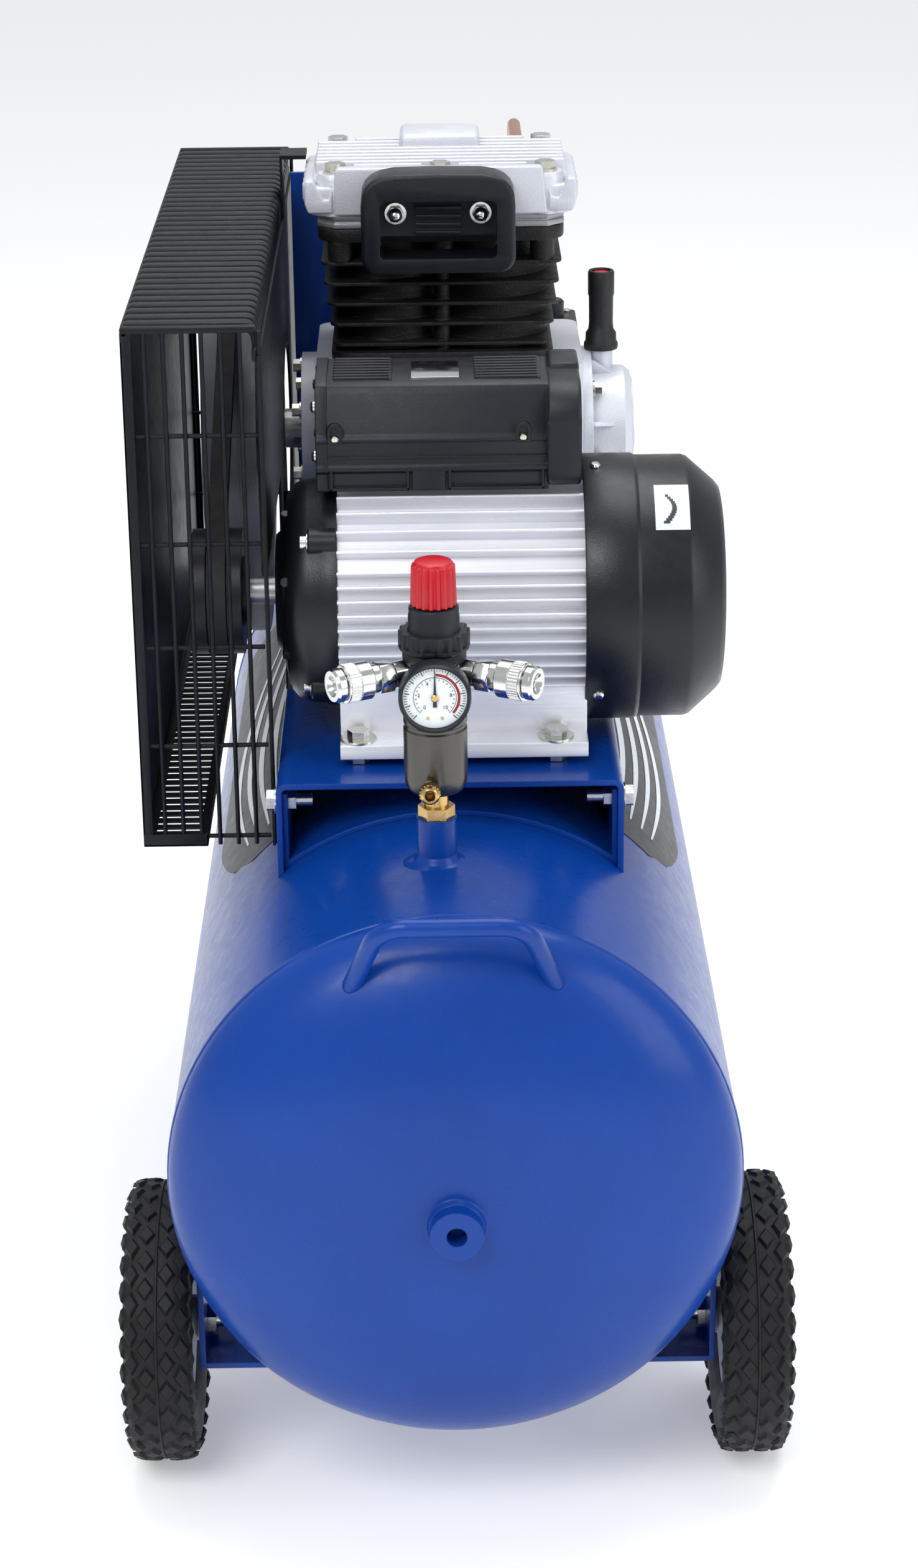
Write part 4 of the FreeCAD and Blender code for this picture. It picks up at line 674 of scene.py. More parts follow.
piece("fan_can", cowl(), motor_black, stands_for=("fan_cowl",))
piece("cowl_label", [on_cowl(139, 162, 42, 66)], pale_label)


def turn_arrow():
    """A curved arrow for the direction of rotation."""
    rows = []
    for step in range(13):
        share = step / 12
        low = 141 + 6 * math.sin(math.pi * share) + 3.5
        rows.append((45 + 15 * share, low, low + 4.2 * (1 - share * 0.55)))
    band = [(x_low, x_high, turn) for turn, x_low, x_high in rows]
    shapes = []
    for (a_low, a_high, a_turn), (_, _, b_turn) in zip(band, band[1:]):
        shapes.append(wrapped([(a_low, a_turn, b_turn), (a_high, a_turn, b_turn)], COWL_RADIUS - 0.75,
                              (SHAFT_Y, SHAFT_Z), "x"))
    return shapes


piece("cowl_arrow", turn_arrow(), ink)


def pan_screw(place, axis, radius=3.6):
    """A pan-head screw, plain on top."""
    profile = [(0, 0), (radius, 0), (radius, radius * 0.35), (radius * 0.7, radius * 0.75),
               (0, radius * 0.85)]
    return [lathe(profile, place, axis, 24)]


cowl_screws = []
for turn in (-35, 215, 80):
    lean = math.radians(turn)
    out = Vector((0, -math.cos(lean), math.sin(lean)))
    cowl_screws += pan_screw(Vector((COWL_LEFT + 9, SHAFT_Y, SHAFT_Z)) + out * (COWL_RADIUS - 0.2), out)
piece("cowl_screws", cowl_screws, chrome)

# ------------------------------------------------------------------ control box
BOX_LEFT, BOX_FRONT, BOX_FLOOR = corner("control_box")
BOX_RIGHT, BOX_BACK, BOX_TOP = corner("control_box", 1, 1, 1)
SEAT = 87.9
CAP_START = 68
LIP, RIDGE = BOX_FLOOR + 15, BOX_FLOOR + 37
ROOF = BOX_TOP - 3


def box_section(grow, roof):
    """Side view of the box: a low lip, an upright face, a ridge, a sloped face and a seat on the barrel."""
    front, back = BOX_FRONT + 2 - grow, BOX_BACK + grow
    spots = [(front + 5, BOX_FLOOR), (front + 3, BOX_FLOOR + 1), (front + 3, LIP - 2), (front, LIP),
             (front, LIP + 3),
             (front + 1.2, LIP + 4), (front + 1.2, RIDGE - 3), (front + 0.2, RIDGE - 1.5),
             (front + 0.2, RIDGE),
             (front + 2.5, RIDGE + 2.5), (front + 9, roof - 7), (front + 12, roof - 2), (front + 17, roof),
             (back - 10, roof), (back - 4, roof - 3), (back, roof - 9), (back, BOX_FLOOR + 2),
             (back - 2, BOX_FLOOR)]
    edge = math.degrees(math.acos((BOX_FLOOR - SHAFT_Z) / SEAT))
    for step in range(9):
        turn = math.radians(edge - 2 * edge * step / 8)
        spots.append((SHAFT_Y + SEAT * math.sin(turn), SHAFT_Z + SEAT * math.cos(turn)))
    return spots


def cap_section():
    """The end cap stands proud of the box and has a round front shoulder."""
    front, back = BOX_FRONT - 1.5, BOX_BACK + 1
    spots = [(front + 6, BOX_FLOOR + 3), (front + 1, BOX_FLOOR + 9), (front, BOX_FLOOR + 16),
             (front, ROOF - 24)]
    for step in range(9):
        turn = math.radians(90 * step / 8)
        spots.append((front + 26 - 26 * math.cos(turn), ROOF - 24 + 24 * math.sin(turn)))
    return spots + [(back - 6, ROOF), (back, ROOF - 6), (back, BOX_FLOOR + 6)]


FACE = BOX_FRONT + 2
box_shapes = [prism(box_section(0, ROOF), BOX_LEFT + 7, CAP_START + 1, "x", 0.8),
              prism(box_section(0.8, ROOF + 1), BOX_LEFT, BOX_LEFT + 8, "x", 2.4, 3),
              prism(cap_section(), CAP_START, COWL_LEFT - 1.2, "x", 3, 3),
              block((CAP_START + 2, BOX_BACK - 40, ROOF - 20), (BOX_RIGHT - 5, BOX_BACK, BOX_TOP), 3, 3)]
for low, high in ((BOX_LEFT + 9, -24), (2, CAP_START - 2)):
    box_shapes.append(block((low, FACE + 0.6, BOX_FLOOR + 1.5), (high, FACE + 4, BOX_FLOOR + 3.5), 0.5))
    box_shapes += [block((x, FACE + 0.6, BOX_FLOOR + 1.5), (x + 2, FACE + 4, LIP), 0.5)
                   for x in (low, high - 2)]
box_shapes.append(block((-22, FACE + 0.2, BOX_FLOOR + 1), (0, FACE + 4, LIP), 0.8))
box_shapes.append(block((BOX_LEFT + 9, FACE - 0.4, LIP + 9), (CAP_START, FACE + 2, LIP + 10.2), 0.4))
GRATING = 7.2
for low, high in ((BOX_LEFT + 12, -36), (20, CAP_START - 5)):
    box_shapes += [block((low, FACE + 21 + GRATING * i, ROOF - 1),
                         (high, FACE + 24.6 + GRATING * i, ROOF + 1.8), 0.8)
                   for i in range(8)]
    box_shapes.append(block((high - 1, FACE + 20, ROOF - 1), (high + 1.2, FACE + 76, ROOF + 1.2), 0.6))
POCKETS = ((BOX_LEFT + 13, FACE + 3), (CAP_START - 16, FACE + 3))


def pocket(x, y):
    """A screw pocket with an arched rim."""
    outline = [(x - 5, RIDGE - 3), (x + 5, RIDGE - 3)]
    outline += [(x + 5 * math.cos(math.radians(a)), RIDGE + 6 + 5 * math.sin(math.radians(a)))
                for a in range(0, 181, 30)]
    rim = prism(outline, y - 3.4, y + 3, "y", 0.6)
    hole = prism([(x + (px - x) * 0.66, RIDGE + 2 + (pz - RIDGE - 2) * 0.72) for px, pz in outline], y - 6,
                 y - 0.5, "y")
    return drilled(rim, [hole])


box_shapes += [pocket(x, y) for x, y in POCKETS]
piece("start_box", box_shapes, black_plastic, stands_for=("control_box",))
piece("rating_plate", [block((-22, FACE + 24, ROOF - 0.4), (10, FACE + 66, ROOF + 0.8), 0.25)], chrome)
box_screws = []
for x, y in POCKETS:
    box_screws += pan_screw((x, y - 0.6, RIDGE), "-y", 3)
for z in (BOX_FLOOR + 22, ROOF - 16):
    box_screws += pan_screw((BOX_LEFT, BOX_FRONT + 16, z), "-x", 4)
    box_screws += pan_screw((BOX_LEFT, BOX_BACK - 16, z), "-x", 4)
piece("start_box_screws", box_screws, zinc)

# ------------------------------------------------------------------ pump
PUMP_Y = middle("cylinder_block").y
BORE_X = 46
HEAD_BOLTS = [(x, y) for x in (-77, 0, 77) for y in (PUMP_Y - 51, PUMP_Y + 51)]
BLOCK_LOW, BLOCK_TOP = span("cylinder_block", "z")


def twin_outline(half, deep, waist):
    """Plan of a fin that bulges round both cylinders."""
    lobe = half - 38
    front = []
    for step in range(25):
        x = -half * math.cos(math.pi * step / 24)
        share = min(1.0, abs(abs(x) - 38) / lobe)
        depth = deep * math.sqrt(max(0.0, 1 - share * share))
        if abs(x) < 38:
            depth = max(depth, waist)
        front.append((x, PUMP_Y - depth))
    return front + [(x, 2 * PUMP_Y - y) for x, y in reversed(front[1:-1])]


BORE = 32.7
CORE = 80.6


def bored(shape):
    """Open both cylinder bores through one slice of the block."""
    depth = BLOCK_TOP - BLOCK_LOW + 8
    tools = [lathe([(0, 0), (BORE, 0), (BORE, depth), (0, depth)], (x, PUMP_Y, BLOCK_LOW - 4), "z", 64)
             for x in (-BORE_X, BORE_X)]
    return drilled(shape, tools)


FINS, FIN_RISE = 5, 15.5


def cylinder_fins():
    """Five fins that grow towards the head, with the foot and the top flange of the block."""
    slices = [prism(twin_outline(CORE, 46, 30), BLOCK_LOW, BLOCK_TOP - 4, "z")]
    for number in range(FINS):
        z = BLOCK_LOW + 12 + number * FIN_RISE
        width, deep = 163 + number * 3.8, 110 + number * 1.8
        slices.append(prism(round_box(width, deep, 9, (0, PUMP_Y)), z, z + 2.6, "z", 0.6))
    slices.append(prism(round_box(166, 116, 16, (0, PUMP_Y)), BLOCK_LOW, BLOCK_LOW + 8, "z", 1.5))
    slices.append(prism(round_box(182, 122, 20, (0, PUMP_Y)), BLOCK_TOP - 10.5, BLOCK_TOP, "z", 1.5))
    return [bored(shape) for shape in slices]


def stud_bosses():
    """Round bosses under the flange that take the head bolts."""
    profile = [(0, 0), (8, 0), (9, 1.5), (9, 22), (0, 22)]
    return [lathe(profile, (x * 0.97, y, BLOCK_TOP - 26), "z", 24) for x, y in HEAD_BOLTS]


def middle_posts():
    """The upright bosses that stand between the two cylinders, front and back."""
    return [rod(6, (0, y, BLOCK_LOW + 4), (0, y, BLOCK_TOP - 6), 24) for y in (PUMP_Y - 44, PUMP_Y + 44)]


piece("finned_block", cylinder_fins() + stud_bosses() + middle_posts(), cast_black,
      stands_for=("cylinder_block",), smooth=24)

PLATE_LOW = corner("valve_plate").z
octagon = [(-91, -49), (-79, -61), (79, -61), (91, -49), (91, 49), (79, 61), (-79, 61), (-91, 49)]
piece("port_plate", [prism([(x, PUMP_Y + y) for x, y in octagon], PLATE_LOW + 0.1, PLATE_LOW + 4.6, "z", 1.1),
                     prism([(x * 0.985, PUMP_Y + y * 0.98) for x, y in octagon], PLATE_LOW + 4.4,
                           PLATE_LOW + 6, "z", 0.3),
                     prism([(x, PUMP_Y + y) for x, y in octagon], PLATE_LOW + 5.8, PLATE_LOW + 9.9, "z",
                           1.1)],
      iron_grey, stands_for=("valve_plate",))

HEAD_LEFT, HEAD_RIGHT = span("cylinder_head", "x")
HEAD_LOW, HEAD_TOP = span("cylinder_head", "z")
HEAD_FRONT, HEAD_REAR = 100, corner("cylinder_head", 0, 1).y
HEAD_MID = (HEAD_FRONT + HEAD_REAR) / 2


def head():
    """The finned cylinder head: a skirt, a raised front plate, stepped corners, fins and bolt bosses."""
    wide, deep = HEAD_RIGHT - HEAD_LEFT, HEAD_REAR - HEAD_FRONT
    shapes = [prism(round_box(wide - 8, deep - 2, 14, (0, HEAD_MID)), HEAD_LOW, HEAD_LOW + 10, "z", 1.6),
              prism(round_box(wide, deep, 16, (0, HEAD_MID)), HEAD_LOW + 8, HEAD_LOW + 22, "z", 2.6, 3),
              prism(round_box(wide - 14, deep - 10, 14, (0, HEAD_MID)), HEAD_LOW + 20, HEAD_LOW + 27, "z",
                    2.2, 3)]
    front = [(-78, HEAD_LOW + 1.5), (78, HEAD_LOW + 1.5), (75, HEAD_LOW + 34), (73, HEAD_LOW + 36),
             (-75, HEAD_LOW + 36), (-77, HEAD_LOW + 34)]
    shapes.append(prism(front, HEAD_FRONT - 3, HEAD_FRONT + 7, "y", 2, 3))
    y = HEAD_FRONT + 13
    while y < HEAD_REAR - 8:
        near_bolt = min(abs(y + 2 - spot[1]) for spot in HEAD_BOLTS) < 12
        spans = ((-64, -13), (13, 64)) if near_bolt else ((-92, 92),)
        for low, high in spans:
            shapes.append(block((low, y, HEAD_LOW + 24), (high, y + 4.2, HEAD_LOW + 36), 1.6, 3))
        y += 12.6
    shapes.append(block((-30, HEAD_REAR - 52, HEAD_LOW + 24), (30, HEAD_REAR - 4, HEAD_TOP - 1), 5, 3))
    for x, y in HEAD_BOLTS:
        profile = [(0, 0), (14, 0), (14, 27), (12.5, 30), (0, 30)]
        shapes.append(lathe(profile, (x, y, HEAD_LOW), "z", 32))
    for side in (-1, 1):
        notch = [(side * x, HEAD_LOW + z)
                 for x, z in ((79, 20), (82, 13), (86, 13), (90, 20), (93, 27), (99, 27),
                                                       (99.5, 10), (97, 3), (79, 3))]
        shapes.append(prism(notch, HEAD_FRONT - 2, HEAD_FRONT + 16, "y", 1.4, 3))
        for row in range(6):
            y = HEAD_FRONT + 20 + 17 * row
            low, high = sorted((side * 99, side * 101.5))
            shapes.append(block((low, y, HEAD_LOW + 9), (high, y + 7, HEAD_LOW + 21), 1))
    return shapes


piece("finned_head", head(), cast_silver, stands_for=("cylinder_head",), smooth=28)


def filter_loop():
    """The moulded loop of the intake filter: arched top, deep recess and a finger gap."""
    left, right = span("intake_filter", "x")
    low, top = span("intake_filter", "z")
    front, rear = span("intake_filter", "y")
    mid, half = (left + right) / 2, (right - left) / 2
    spots = []
    for step in range(7):
        turn = math.radians(180 + 15 * step)
        spots.append((left + 12 + 12 * math.cos(turn), low + 12 + 12 * math.sin(turn)))
    for step in range(7):
        turn = math.radians(270 + 15 * step)
        spots.append((right - 12 + 12 * math.cos(turn), low + 12 + 12 * math.sin(turn)))
    for step in range(13):
        turn = math.radians(15 * step)
        x = mid + half * math.copysign(abs(math.cos(turn)) ** 0.42, math.cos(turn))
        spots.append((x, top - 24 + 24 * abs(math.sin(turn)) ** 0.75))
    body = prism(spots, front, rear, "y", 3.2, 3)
    recess = prism(round_box(85, 32, 5, (mid, low + 37)), front - 5, front + 19, "y")
    grip = prism(round_box(85, 13, 4, (mid, low + 17.5)), front - 5, rear + 5, "y")
    return softened(drilled(body, [recess, grip]), 0.8, 2, 60)


FILTER_MID = middle("intake_filter").x
FILTER_FRONT, FILTER_LOW = corner("intake_filter").y, corner("intake_filter").z
RECESS = FILTER_FRONT + 19
slats = [block((FILTER_MID - 17, RECESS - 3, FILTER_LOW + 25.6 + 6 * i),
               (FILTER_MID + 17, RECESS + 0.5, FILTER_LOW + 28.4 + 6 * i), 0.8)
         for i in range(5)]
piece("filter_shell", [filter_loop()] + slats, black_plastic, stands_for=("intake_filter",),
      smooth=40)


def acorn_nut(place):
    """A domed nut on a washer, facing the front."""
    washer = lathe([(0, 0), (8.4, 0), (8.4, 1), (7.9, 1.5), (0, 1.5)], place, "-y", 32)
    flats = plate(ring_outline(6, lambda n: 6.4), 5.5, place, "-y", 0.6)
    dome = lathe([(5, 5), (5, 7.5), (4, 10), (2.2, 11.5), (0, 12)], place, "-y", 24)
    return [washer, flats, dome]


piece("filter_nuts", acorn_nut((FILTER_MID - 31, RECESS, FILTER_LOW + 41)) +
      acorn_nut((FILTER_MID + 31, RECESS, FILTER_LOW + 41)), chrome)

BREATHER_X, BREATHER_Y = middle("breather").x, middle("breather").y
BREATHER_LOW = corner("breather").z
piece("breather_tube",
      [lathe([(0, 0), (12.6, 0), (13, 1), (13, 4), (11.8, 6), (11.6, 12), (9.6, 15), (9.1, 20),
                               (9.3, 40), (10, 42), (10, 58.6), (9.3, 60), (7.4, 60), (7, 59), (7, 56),
              (0, 56)],
                              (BREATHER_X, BREATHER_Y, BREATHER_LOW), "z", 64)],
      foot_rubber, stands_for=("breather",))
piece("breather_felt", [lathe([(0, 0), (6.9, 0), (6.9, 2), (5.6, 2.8), (0, 3)],
                              (BREATHER_X, BREATHER_Y, BREATHER_LOW + 56), "z", 32)], red_cap)

# ------------------------------------------------------------------ case and switch details
CASE_HALF, COVER_BOLTS, COVER_BOLT_TURN = 72, 6, 0.26
CASE_FRONT, CASE_REAR = PUMP_Y - CASE_HALF, PUMP_Y + CASE_HALF
CASE_FOOT = corner("crankcase").z + 10
CRANK_Z = middle("crankcase_cover").z
COVER_FACE = corner("crankcase_cover", 1).x
COVER_FLANGE = corner("crankcase_cover").x + 8


def case_gussets():
    """Triangular webs between the foot flange and both long walls of the case."""
    shapes = []
    for x in (-48, 6, 60):
        for wall, way in ((CASE_FRONT, -1), (CASE_REAR, 1)):
            outline = [(wall - way, CASE_FOOT - 1), (wall + way * 16, CASE_FOOT - 1),
                       (wall + way * 16, CASE_FOOT + 3), (wall - way, CASE_FOOT + 46)]
            shapes.append(prism(outline, x - 3, x + 3, "x", 1.0))
    return shapes


def cover_webs():
    """Webs from the dome of the cover to its flange, set between the bolts."""
    shapes = []
    for number in range(COVER_BOLTS):
        turn = FULL * (number + 0.5) / COVER_BOLTS + COVER_BOLT_TURN
        web = prism([(44, 0), (56, 0), (55, 3), (44, 19)], -1.8, 1.8, "y", 0.8)
        bmesh.ops.rotate(web, cent=(0, 0, 0), matrix=Matrix.Rotation(turn + math.pi / 2, 3, "Z"),
                         verts=web.verts)
        shapes.append(moved(web, (COVER_FLANGE - 0.5, PUMP_Y, CRANK_Z), "x"))
    return shapes


def cover_rings():
    """The turned ring and the plug on the outer face of the cover."""
    ring = lathe([(30, -0.5), (37, -0.5), (36.4, 1.6), (30.6, 1.6)], (COVER_FACE, PUMP_Y, CRANK_Z), "x", 96,
                 closed=True)
    plug = plate(ring_outline(6, lambda n: 8), 4.4, (COVER_FACE - 0.4, PUMP_Y, CRANK_Z - 12), "x", 0.8)
    return [ring, plug]


piece("case_details", case_gussets() + cover_webs() + cover_rings(), cast_silver)

SWITCH_MID = middle("pressure_switch")
SWITCH_HALF, SWITCH_DEPTH = 20, 29
SWITCH_TOP = corner("pressure_switch", 0, 0, 1).z


def switch_trim():
    """The lip round the switch cover and three ribs on each of its two sides."""
    size = (2 * SWITCH_HALF + 3, 2 * SWITCH_DEPTH + 3)
    spot = (SWITCH_MID.x, SWITCH_MID.y)
    shapes = [prism(round_box(*size, 6, spot), SWITCH_TOP - 60, SWITCH_TOP - 55, "z", 1.2)]
    for x in (-SWITCH_HALF - 1, SWITCH_HALF - 0.5):
        for y in (-14, 0, 14):
            shapes.append(block((spot[0] + x, spot[1] + y - 2, SWITCH_TOP - 50),
                                (spot[0] + x + 1.5, spot[1] + y + 2, SWITCH_TOP - 12), 0.6))
    return shapes


piece("switch_trim", switch_trim(), black_plastic)
piece("switch_screws", [part for x, y in ((-13, -22), (13, 22))
                        for part in pan_screw((SWITCH_MID.x + x, SWITCH_MID.y + y, SWITCH_TOP), "z", 3)],
      zinc)

# ------------------------------------------------------------------ regulator
REG_X, REG_Y = middle("regulator_collar").x, middle("regulator_collar").y
REG = (REG_X, REG_Y, 0)
KNOB_LOW, KNOB_TOP = span("regulator_knob", "z")
KNOB_RADIUS = extent("regulator_knob").x / 2
COLLAR_LOW, COLLAR_TOP = span("regulator_collar", "z")
COLLAR_RADIUS = extent("regulator_collar").x / 2
BOWL_LOW, BOWL_TOP = span("filter_bowl", "z")
BOWL_RADIUS = extent("filter_bowl").x / 2
RIB_DEPTH = (0, 0, 0.2, 1.3, 1.7, 1.3)


def ribbed(count, radius):
    """Outline of a grip with broad ribs: six points to each rib."""
    return ring_outline(count * 6, lambda number: radius - RIB_DEPTH[number % 6])


def knob():
    """A cap with broad ribs, a little narrower at its top."""
    skirt = plate(ribbed(18, KNOB_RADIUS), KNOB_TOP - KNOB_LOW - 2.5, (REG_X, REG_Y, KNOB_LOW))
    top = [vert for vert in skirt.verts if vert.co.z > KNOB_LOW + 5]
    bmesh.ops.scale(skirt, vec=(0.94, 0.94, 1), verts=top, space=Matrix.Translation((-REG_X, -REG_Y, 0)))
    softened(skirt, 0.9, 3, 60)
    flat = KNOB_RADIUS * 0.94 - 1.6
    crown = lathe([(0, KNOB_TOP - 6), (flat, KNOB_TOP - 6), (flat, KNOB_TOP - 1.6),
                   (flat - 0.6, KNOB_TOP - 0.6),
                   (flat - 2, KNOB_TOP), (0, KNOB_TOP)], REG, "z", 64)
    return [skirt, crown]


piece("pressure_cap", knob(), red_cap, "knob", ("regulator_knob",))
piece("regulator_trunk", [
    lathe([(0, BOWL_TOP), (18.8, BOWL_TOP), (20.6, BOWL_TOP + 1.5), (20.6, BOWL_TOP + 9),
           (18.6, BOWL_TOP + 11),
           (18.6, COLLAR_LOW - 8), (20.4, COLLAR_LOW - 6), (20.4, COLLAR_LOW - 1), (17, COLLAR_LOW),
           (17, COLLAR_TOP),
           (16.4, COLLAR_TOP + 1.5), (16.4, COLLAR_TOP + 9), (15.9, COLLAR_TOP + 11), (15.9, KNOB_LOW - 1.6),
           (15.2, KNOB_LOW - 0.8), (12, KNOB_LOW - 0.6), (12, KNOB_LOW + 13), (0, KNOB_LOW + 13)], REG, "z",
          72),
    lathe([(0, 0), (9.5, 0), (9.5, 13), (11, 15), (11, 22), (0, 22)],
          (REG_X, REG_Y, middle("gauge_case").z), "-y", 40),
], black_plastic, stands_for=("regulator_body",))
piece("regulator_ring", [plate(ribbed(16, COLLAR_RADIUS), COLLAR_TOP - COLLAR_LOW - 1.5,
                               (REG_X, REG_Y, COLLAR_LOW + 1), "z", 0.6),
                         lathe([(17.1, COLLAR_LOW), (COLLAR_RADIUS - 1, COLLAR_LOW),
                                (COLLAR_RADIUS - 0.2, COLLAR_LOW + 1),
                                (COLLAR_RADIUS - 0.2, COLLAR_LOW + 3), (17.1, COLLAR_LOW + 3)], REG, "z", 64,
                               closed=True)],
      black_plastic, stands_for=("regulator_collar",))
piece("water_bowl", [lathe([(0, BOWL_LOW), (13, BOWL_LOW), (BOWL_RADIUS - 3, BOWL_LOW + 2),
                            (BOWL_RADIUS - 1, BOWL_LOW + 5),
                            (BOWL_RADIUS, BOWL_LOW + 12), (BOWL_RADIUS, BOWL_TOP - 9),
                            (BOWL_RADIUS - 0.8, BOWL_TOP - 8),
                            (BOWL_RADIUS - 0.8, BOWL_TOP - 6), (BOWL_RADIUS, BOWL_TOP - 5),
                            (BOWL_RADIUS, BOWL_TOP - 1),
                            (BOWL_RADIUS - 1, BOWL_TOP), (0, BOWL_TOP)],
                           REG, "z", 80)], bowl_metal, stands_for=("filter_bowl",))

OUTLET_TURN, OUTLET_Z = 28, middle("coupler_bodies").z
OUTLET_REACH = 73
HOSE_ENDS = {"left": -1, "right": 1}


def outlet(side):
    turn = math.radians(OUTLET_TURN)
    return Vector((side * math.cos(turn), -math.sin(turn), 0))


def coupler(side):
    """A hose coupler: stub, hex, neck and a bored tip."""
    way, start = outlet(side), (REG_X, REG_Y, OUTLET_Z)
    tip = OUTLET_REACH
    stub = lathe([(0, 14), (8.4, 14), (8.4, 30.5), (0, 30.5)], start, way, 48)
    hexagon = plate(ring_outline(6, lambda n: 10.6), 10.5, Vector(start) + way * 31, way, 0.8, 2)
    neck = lathe([(4, 34), (8.6, 34), (8.6, 41.5), (9.3, 42), (9.3, tip - 7.2), (10.2, tip - 6.8),
                  (10.9, tip - 6),
                  (10.9, tip - 1.8), (9.8, tip - 0.1), (6.8, tip - 0.1), (4.6, tip - 2.5), (4, tip - 5)],
                 start, way, 64, closed=True)
    return [stub, hexagon, neck]


def sleeve(side):
    """The ring that is drawn back to let the hose go: smooth flats, then a knurled band."""
    way, start = outlet(side), Vector((REG_X, REG_Y, OUTLET_Z))
    low, high = 47, OUTLET_REACH - 7.4
    profile = [(9.6, low), (11.4, low), (12.3, low + 1), (12.3, high - 9), (11.6, high - 8.6),
               (11.6, high - 1.4),
               (12.3, high - 1), (12.3, high - 0.3), (11.8, high), (9.6, high)]
    shapes = [lathe(profile, start, way, 64, closed=True)]
    across = way.cross(Vector((0, 0, 1)))
    for number in range(36):
        turn = FULL * number / 36
        out = across * math.cos(turn) + Vector((0, 0, 1)) * math.sin(turn)
        shapes.append(rod(0.7, start + way * (high - 8.5) + out * 11.7,
                          start + way * (high - 1.5) + out * 11.7, 6))
    return shapes


piece("hose_couplers", coupler(-1) + coupler(1), chrome, stands_for=("coupler_bodies",))
for side_name, side in HOSE_ENDS.items():
    piece("release_ring_" + side_name, sleeve(side), chrome, "sleeve_" + side_name,
          ("coupler_sleeve_" + side_name,))

GAUGE = (REG_X, corner("gauge_case").y, middle("gauge_case").z)
DIAL_DEPTH = 5
piece("gauge_bezel", [lathe([(0, -19), (16, -19), (18, -17), (21.4, -15), (22.9, -13), (22.9, -3), (22.4, -1),
                             (21.6, 0), (20.9, -0.2), (20.5, -1), (20.5, -DIAL_DEPTH), (0, -DIAL_DEPTH)],
                            GAUGE, "-y", 96)],
      black_plastic, stands_for=("gauge_case",))


def dial_bar(turn, inner, outer, width, lift=0.3):
    """A thin bar on the dial, its turn in degrees clockwise from the top."""
    lean = math.radians(turn)
    bar = block((-width / 2, -lift, inner), (width / 2, 0.05, outer))
    bmesh.ops.rotate(bar, cent=(0, 0, 0), matrix=Matrix.Rotation(lean, 3, "Y"), verts=bar.verts)
    return moved(bar, (GAUGE[0], GAUGE[1] + DIAL_DEPTH - 0.4, GAUGE[2]))


SWEEP = 135
piece("gauge_dial", [lathe([(0, 0), (20.3, 0), (20.3, 0.4), (0, 0.4)],
                           (GAUGE[0], GAUGE[1] + DIAL_DEPTH, GAUGE[2]), "-y", 80)], dial_white)
marks = [dial_bar(-SWEEP + 5.4 * n, 17.6 if n % 5 else 16.2, 19.4, 0.28 if n % 5 else 0.5) for n in range(51)]
marks += [dial_bar(-SWEEP + 13.5 * n, 11.4, 12.6, 0.3) for n in range(21)]
marks += [dial_bar(-SWEEP + 5.4 * n, 13.3, 13.55, 1.4) for n in range(51)]
piece("gauge_marks", marks, ink)
piece("gauge_red_arc", [dial_bar(4 + 3 * n, 14.4, 16.0, 1.0, 0.24) for n in range(43)], dial_red)


def dial_text(text, turn, radius, height):
    """A number on the dial as a thin raised mesh."""
    curve = bpy.data.curves.new("number", "FONT")
    curve.body = text
    curve.size = height
    curve.align_x = "CENTER"
    curve.align_y = "CENTER"
    curve.extrude = 0.1
    holder = bpy.data.objects.new("number", curve)
    bpy.context.scene.collection.objects.link(holder)
    mesh = bpy.data.meshes.new_from_object(holder)
    bm = bmesh.new()
    bm.from_mesh(mesh)
    bpy.data.objects.remove(holder)
    bpy.data.curves.remove(curve)
    bpy.data.meshes.remove(mesh)
    lean = math.radians(turn)
    place = (GAUGE[0] + radius * math.sin(lean), GAUGE[1] + DIAL_DEPTH - 0.5,
             GAUGE[2] + radius * math.cos(lean))
    return moved(bm, place, "-y")


piece("gauge_numbers", [dial_text(str(2 * n), -SWEEP + 54 * n, 9.2 if n in (0, 5) else 10.2, 3.4)
                        for n in range(6) if n != 3], ink)
piece("gauge_stop_pins", [lathe([(0, 0), (0.9, 0), (0.9, 0.8), (0, 1)],
                                (GAUGE[0] + x, GAUGE[1] + DIAL_DEPTH - 0.4, GAUGE[2] - 13.5), "-y", 16)
                          for x in (-4.5, 4.5)], brass)
NEEDLE_Y = GAUGE[1] + 3.4
needle_outline = [(-1.3, -6), (1.3, -6), (0.9, 0), (0.75, 4), (0.2, 16.5), (-0.2, 16.5), (-0.75, 4),
                  (-0.9, 0)]
piece("pressure_needle",
      [prism([(GAUGE[0] + x, GAUGE[2] + z) for x, z in needle_outline], NEEDLE_Y, NEEDLE_Y + 0.6, "y")],
      ink, "needle", ("gauge_needle",))
piece("needle_hub",
      [lathe([(0, 0), (2.4, 0), (2.4, 0.9), (1.7, 1.4), (0, 1.5)], (GAUGE[0], NEEDLE_Y + 0.3, GAUGE[2]),
                           "-y", 32)], brass, "needle")

